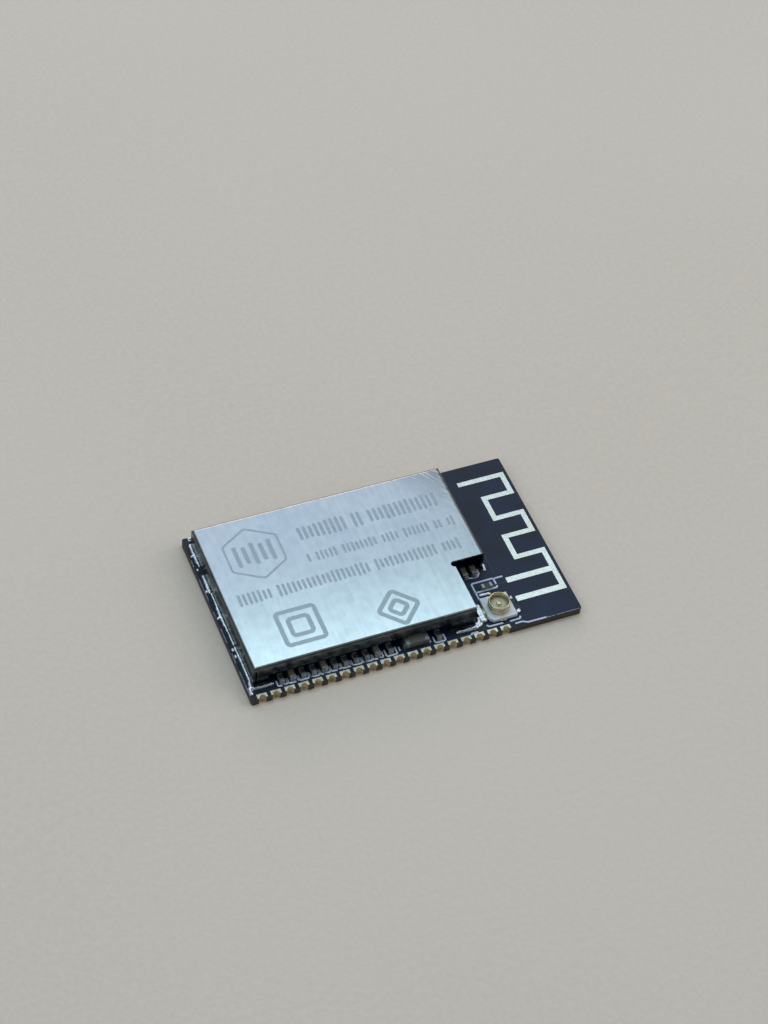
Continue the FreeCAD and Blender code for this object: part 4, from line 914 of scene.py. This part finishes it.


# --- Board edge -----------------------------------------------------------------------------

# Runs, in millimetres along the near and left edges, of the pale strips that are painted highlight.
NEAR_EDGE_HIGHLIGHT = ((27.7, 28.6), (28.75, 29.6), (29.7, 31.0))
LEFT_EDGE_HIGHLIGHT = ((0.5, 3.2), (4.1, 5.2), (6.4, 8.0), (9.3, 9.9), (11.2, 13.8), (15.2, 16.0))


class MODULE_OT_edge(bpy.types.Operator):
    """Lay pale strips along the near and left top edges: painted highlight"""
    bl_idname = "module.edge"
    bl_label = "Painted edge highlight"

    def execute(self, context):
        runs = [[spot(start, 0.04), spot(end, 0.04)] for start, end in NEAR_EDGE_HIGHLIGHT]
        runs += [[spot(0.04, start), spot(0.04, end)] for start, end in LEFT_EDGE_HIGHLIGHT]
        mesh = grow(ribbon_tree("frayed edge", "edge_highlight"), line_seed("frayed edge", runs),
                    {"Width": 0.06 * MM, "Thickness": 0.02 * MM})
        keep_piece("frayed_edge", mesh, "edge_highlight")
        return {"FINISHED"}


# --- Ink ------------------------------------------------------------------------------------

def cup(x, half, low, top):
    """An open outline round a chip's near end."""
    return path((x - half, top), (x - half, low), (x + half, low), (x + half, top))


def ink_runs():
    """Legend outlines round the chip parts, the feed resistor, the jack and the corner."""
    row = [cup(ROW_FIRST + n * ROW_PITCH, 0.45, 0.66, 1.25) for n in range(ROW_CHIPS)]
    late = [cup(LATE_CHIPS[0], 0.5, 0.6, 1.35), cup(LATE_CHIPS[1], 0.5, 0.6, 1.3)]
    long_chip = [path((14.02, 0.8), (14.02, 1.25)), path((16.9, 0.8), (16.9, 1.3))]
    feed = [path((22.85, 3.8), (22.85, 5.6), (25.0, 5.6), (25.0, 4.55), (22.85, 4.55)),
            path((25.1, 5.55), (25.9, 5.55))]
    notch = [path((22.4, 6.35), (22.9, 6.3), (23.2, 6.2), (23.75, 6.2), (24.0, 6.5), (24.0, 7.0))]
    jack = [path((22.35, 0.95), (22.5, 0.74), (23.85, 0.72)),
            path((24.5, 0.68), (25.5, 0.72), (25.62, 0.95))]
    edge = [path((20.6, 0.36), (20.75, 0.52), (21.35, 0.52)),
            path((24.85, 0.32), (25.55, 0.32), (26.0, 0.1), (27.8, 0.08))]
    return row + late + long_chip + feed + notch + jack + edge


def under_ink_runs():
    """A plain box for a lot code and a corner mark at the first terminal, on the underside."""
    box = [under_spot(x, y) for x, y in ((3.0, 6.6), (7.0, 6.6), (7.0, 12.0), (3.0, 12.0), (3.0, 6.6))]
    mark = [under_spot(x, y) for x, y in ((0.7, 3.9), (1.5, 3.9), (1.1, 3.2), (0.7, 3.9))]
    return [box, mark]


class MODULE_OT_ink(bpy.types.Operator):
    """Print the legend outlines on the mask"""
    bl_idname = "module.ink"
    bl_label = "Legend ink"

    def execute(self, context):
        look = context.scene.module_look
        tree = ribbon_tree("ink lines", "ink")
        sizes = {"Width": look.ink_width, "Thickness": 0.016 * MM, "Corner": 0.16 * MM}
        mesh = grow(tree, line_seed("ink lines", ink_runs()), sizes)
        keep_piece("legend_outlines", mesh, "ink")
        mesh = grow(tree, line_seed("lower ink", under_ink_runs()), sizes)
        keep_piece("under_legend", mesh, "ink")
        return {"FINISHED"}


# --- Marks on the lid -----------------------------------------------------------------------

LID_MARK_HEIGHT = 0.004  # millimetres
BAR_ROWS = (  # left x, y, count, pitch, bar width and bar height
    (9.6, 14.2, 26, 0.52, 0.3, 1.8), (9.4, 11.4, 34, 0.42, 0.24, 1.15),
    (2.0, 8.8, 46, 0.46, 0.26, 1.35), (3.4, 13.4, 5, 0.8, 0.4, 2.6),
)
EMBLEM = ((5.0, 13.4), 2.9, 6, math.pi / 6)  # centre, radius, corners and turn
LOW_MARKS = (((6.1, 4.7), 2.5, 4, math.pi / 4), ((6.1, 4.7), 1.3, 4, math.pi / 4),
             ((14.9, 3.8), 1.9, 4, 0.0), ((14.9, 3.8), 0.9, 4, 0.0))


def lid_spot(x, y):
    """A point on the lid, in millimetres from the board's near left corner."""
    place = spot(x, y)
    place.z = CAN_HIGH.z
    return place


def bar_tree():
    """A row of upright etched bars: even pitch, uneven height, a few left out."""
    tree, start = new_tree("etched bars", {"Pitch": 0.55 * MM, "Count": 20, "Bar": 0.3 * MM,
                                           "Height": 1.4 * MM, "Gaps": 0.12, "Seed": 1})
    step = add(tree, "ShaderNodeCombineXYZ", {"X": start.outputs["Pitch"]})
    line = add(tree, "GeometryNodeMeshLine", {"Count": start.outputs["Count"], "Offset": step})
    gap = add(tree, "FunctionNodeRandomValue",
              {"Probability": start.outputs["Gaps"], "Seed": start.outputs["Seed"]},
              data_type="BOOLEAN")
    left = add(tree, "GeometryNodeDeleteGeometry", {"Geometry": line, "Selection": gap},
               domain="POINT")
    outline = add(tree, "GeometryNodeCurvePrimitiveQuadrilateral",
                  {"Width": start.outputs["Bar"], "Height": start.outputs["Height"]})
    corner = add(tree, "ShaderNodeMath", {0: start.outputs["Bar"], 1: 0.4}, operation="MULTIPLY")
    round_bar = add(tree, "GeometryNodeFilletCurve",
                    {"Curve": outline, "Radius": corner, "Count": 3}, mode="POLY")
    face = add(tree, "GeometryNodeFillCurve", {"Curve": round_bar}, mode="NGONS")
    plate = add(tree, "GeometryNodeExtrudeMesh", {"Mesh": face, "Offset Scale": LID_MARK_HEIGHT * MM})
    tall = add(tree, "FunctionNodeRandomValue",
               {2: 0.7, 3: 1.0, "Seed": start.outputs["Seed"]}, data_type="FLOAT")
    size = add(tree, "ShaderNodeCombineXYZ", {"X": 1.0, "Y": tall, "Z": 1.0})
    bars = add(tree, "GeometryNodeInstanceOnPoints",
               {"Points": left, "Instance": plate, "Scale": size})
    row = add(tree, "GeometryNodeInstanceOnPoints",
              {"Points": start.outputs["Mesh"], "Instance": bars})
    close_tree(tree, row, "etched")
    return tree


def ring_run(centre, radius, corners, turn):
    """A closed outline of even corners about a point on the lid."""
    run = []
    for corner in range(corners + 1):
        angle = turn + 2 * math.pi * (corner % corners) / corners
        run.append(lid_spot(centre[0] + radius * math.cos(angle),
                            centre[1] + radius * math.sin(angle)))
    return run


class MODULE_OT_marks(bpy.types.Operator):
    """Etch plain bars and outlines, which say nothing, where a lid carries its markings"""
    bl_idname = "module.marks"
    bl_label = "Lid marks"

    def execute(self, context):
        bars = bar_tree()
        for number, (x, y, count, pitch, bar, height) in enumerate(BAR_ROWS, 1):
            mesh = grow(bars, seed_mesh(f"bars {number}", [lid_spot(x, y)]),
                        {"Count": count, "Pitch": pitch * MM, "Bar": bar * MM,
                         "Height": height * MM, "Seed": number})
            keep_piece(f"lid_bars_{number}", mesh, "etched")
        runs = [ring_run(*EMBLEM)]
        thin = grow(ribbon_tree("thin etching", "etched"), line_seed("emblem", runs),
                    {"Width": 0.2 * MM, "Thickness": 2 * LID_MARK_HEIGHT * MM, "Corner": 0.4 * MM})
        keep_piece("lid_emblem", thin, "etched")
        runs = [ring_run(*mark) for mark in LOW_MARKS]
        broad = grow(ribbon_tree("broad etching", "etched"), line_seed("low marks", runs),
                     {"Width": 0.42 * MM, "Thickness": 2 * LID_MARK_HEIGHT * MM, "Corner": 0.3 * MM})
        keep_piece("lid_low_marks", broad, "etched")
        return {"FINISHED"}


# --- Jack -----------------------------------------------------------------------------------

WELD = 1e-7  # metres: points nearer than this are one


def lathe(name, profile, centre, segments=72):
    """Turns a closed profile of (radius, height) points about an upright axis."""
    mesh = bpy.data.meshes.new(name)
    points, faces = [], []
    count = len(profile)
    for segment in range(segments):
        angle = 2 * math.pi * segment / segments
        for radius, height in profile:
            points.append((centre.x + radius * math.cos(angle) * MM,
                           centre.y + radius * math.sin(angle) * MM, height * MM))
    for segment in range(segments):
        ahead = (segment + 1) % segments
        for i in range(count):
            j = (i + 1) % count
            faces.append((segment * count + i, ahead * count + i,
                          ahead * count + j, segment * count + j))
    mesh.from_pydata(points, [], faces)
    return mesh


def rounded_box(low, high, round_by):
    """A box in millimetres with rounded edges, as a bmesh."""
    work = bmesh.new()
    made = bmesh.ops.create_cube(work, size=1.0)
    for vertex in made["verts"]:
        vertex.co = Vector([(a + b) / 2 + c * (b - a) for a, b, c in zip(low, high, vertex.co)]) * MM
    bmesh.ops.bevel(work, geom=list(work.edges), offset=round_by * MM, segments=3,
                    affect="EDGES", clamp_overlap=True)
    return work


def mesh_of(work, name):
    """Turns a bmesh into a mesh of its own."""
    mesh = bpy.data.meshes.new(name)
    work.to_mesh(mesh)
    work.free()
    return mesh


def join_meshes(name, meshes):
    """One mesh from several, its poles welded and its normals made to point outwards."""
    work = bmesh.new()
    for mesh in meshes:
        work.from_mesh(mesh)
    bmesh.ops.remove_doubles(work, verts=work.verts, dist=WELD)
    bmesh.ops.recalc_face_normals(work, faces=work.faces)
    return mesh_of(work, name)


RING_FLOOR = 1.5  # millimetres above the resting plane
RING_PROFILE = (  # radius and height in millimetres: root, groove, bead, rolled lip, bore
    (1.0, 0.99), (1.0, 1.5), (0.985, 1.54), (0.945, 1.58), (0.94, 1.62), (0.945, 1.69),
    (0.985, 1.73), (1.0, 1.77), (1.0, 1.94), (0.985, 1.995), (0.955, 2.035), (0.92, 2.05),
    (0.885, 2.035), (0.858, 1.995), (0.84, 1.9), (0.84, 0.99),
)
FLOOR_PROFILE = (  # the insulator's raised floor, dished a little round the pin
    (0.0, 1.1), (0.86, 1.1), (0.86, RING_FLOOR), (0.3, RING_FLOOR - 0.03), (0.0, RING_FLOOR - 0.03),
)
TAB_ROOT = 0.9  # millimetres from the ring's middle to where a tab starts
TAB_ENDS = (-1.75, 1.45)
TAB_HALF, TAB_LOW, TAB_HIGH, TAB_ROUND = 0.9, 0.842, 0.99, 0.04


class MODULE_OT_jack(bpy.types.Operator):
    """Turn the jack's ring with a rolled lip, and round its tabs"""
    bl_idname = "module.jack"
    bl_label = "Jack"

    def execute(self, context):
        x, y = ((JACK_LOW + JACK_HIGH) / 2 / MM).xy
        centre = Vector((x * MM, y * MM, 0))
        ring = lathe("ring", RING_PROFILE, centre)
        tabs = []
        for end in TAB_ENDS:
            inner, outer = sorted((x + math.copysign(TAB_ROOT, end), x + end))
            tab = rounded_box((inner, y - TAB_HALF, TAB_LOW), (outer, y + TAB_HALF, TAB_HIGH),
                              TAB_ROUND)
            tabs.append(mesh_of(tab, "tab"))
        boss = join_meshes("ring floor", [lathe("boss", FLOOR_PROFILE, centre)])
        keep_piece("jack_ring_floor", boss, "cream_insulator", True)
        whole = join_meshes("jack ring", [ring, *tabs])
        keep_piece("jack_ring_and_tabs", whole, "gold_contact", True,
                   ["coax_outer_contact"])
        return {"FINISHED"}


# --- Settings, panel and main ---------------------------------------------------------------

class ModuleLook(bpy.types.PropertyGroup):
    """Sizes and strengths that change the picture"""
    high_window: bpy.props.FloatProperty(
        name="High window", description="Radiance of the bright window behind the module",
        default=1.5, min=0.0)
    low_window: bpy.props.FloatProperty(
        name="Low window", description="Radiance of the dimmer window below it",
        default=0.73, min=0.0)
    side_light: bpy.props.FloatProperty(
        name="Side light", description="Radiance of the panel at the right", default=1.4, min=0.0)
    far_light: bpy.props.FloatProperty(
        name="Far light", description="Radiance of the low warm panel beyond the module",
        default=2.0, min=0.0)
    air_strength: bpy.props.FloatProperty(
        name="Air strength", description="Even light from all round", default=0.25, min=0.0)
    solder_grain: bpy.props.FloatProperty(
        name="Solder grain", description="Cell size of the solder beads", unit="LENGTH",
        default=0.028 * MM, min=0.01 * MM, precision=6)
    solder_ripple: bpy.props.FloatProperty(
        name="Solder ripple", description="Height of the waves on the solder", unit="LENGTH",
        default=0.05 * MM, min=0.0, precision=6)
    ink_width: bpy.props.FloatProperty(
        name="Ink width", description="Width of the legend lines", unit="LENGTH",
        default=0.16 * MM, min=0.0, precision=6)


class ModuleColours(bpy.types.PropertyGroup):
    """Lighter tones of the main finishes"""
    mask: bpy.props.FloatVectorProperty(
        name="Solder mask", description="Lighter tone of the board's mask", subtype="COLOR",
        size=3, min=0.0, max=1.0, default=linear("#061C44"))
    legend: bpy.props.FloatVectorProperty(
        name="Legend ink", description="Lighter tone of the printed legend", subtype="COLOR",
        size=3, min=0.0, max=1.0, default=linear("#EDF2FF"))
    antenna: bpy.props.FloatVectorProperty(
        name="Antenna plating", description="Lighter tone of the antenna's pale plating",
        subtype="COLOR", size=3, min=0.0, max=1.0, default=linear("#FFFBF2"))


class MODULE_PT_sidebar(bpy.types.Panel):
    """Lists the steps that dress the module"""
    bl_idname = "MODULE_PT_sidebar"
    bl_label = "Radio Module"
    bl_space_type = "VIEW_3D"
    bl_region_type = "UI"
    bl_category = "Radio Module"

    def draw(self, context):
        for name in ModuleLook.__annotations__:
            self.layout.prop(context.scene.module_look, name)
        for name in ModuleColours.__annotations__:
            self.layout.prop(context.scene.module_colours, name)
        for step in STEPS:
            self.layout.operator(step.bl_idname)


STEPS = (MODULE_OT_stage, MODULE_OT_finishes, MODULE_OT_solder, MODULE_OT_joints,
         MODULE_OT_rims, MODULE_OT_tracks, MODULE_OT_vias, MODULE_OT_edge, MODULE_OT_ink,
         MODULE_OT_marks, MODULE_OT_jack)
CLASSES = (ModuleLook, ModuleColours, *STEPS, MODULE_PT_sidebar)


def register():
    for kind in CLASSES:
        bpy.utils.register_class(kind)
    bpy.types.Scene.module_look = bpy.props.PointerProperty(type=ModuleLook)
    bpy.types.Scene.module_colours = bpy.props.PointerProperty(type=ModuleColours)


def unregister():
    del bpy.types.Scene.module_colours
    del bpy.types.Scene.module_look
    for kind in reversed(CLASSES):
        bpy.utils.unregister_class(kind)


def main():
    """Runs every step."""
    register()
    for step in STEPS:
        group, name = step.bl_idname.split(".")
        getattr(getattr(bpy.ops, group), name)()


if __name__ == "__main__":
    main()
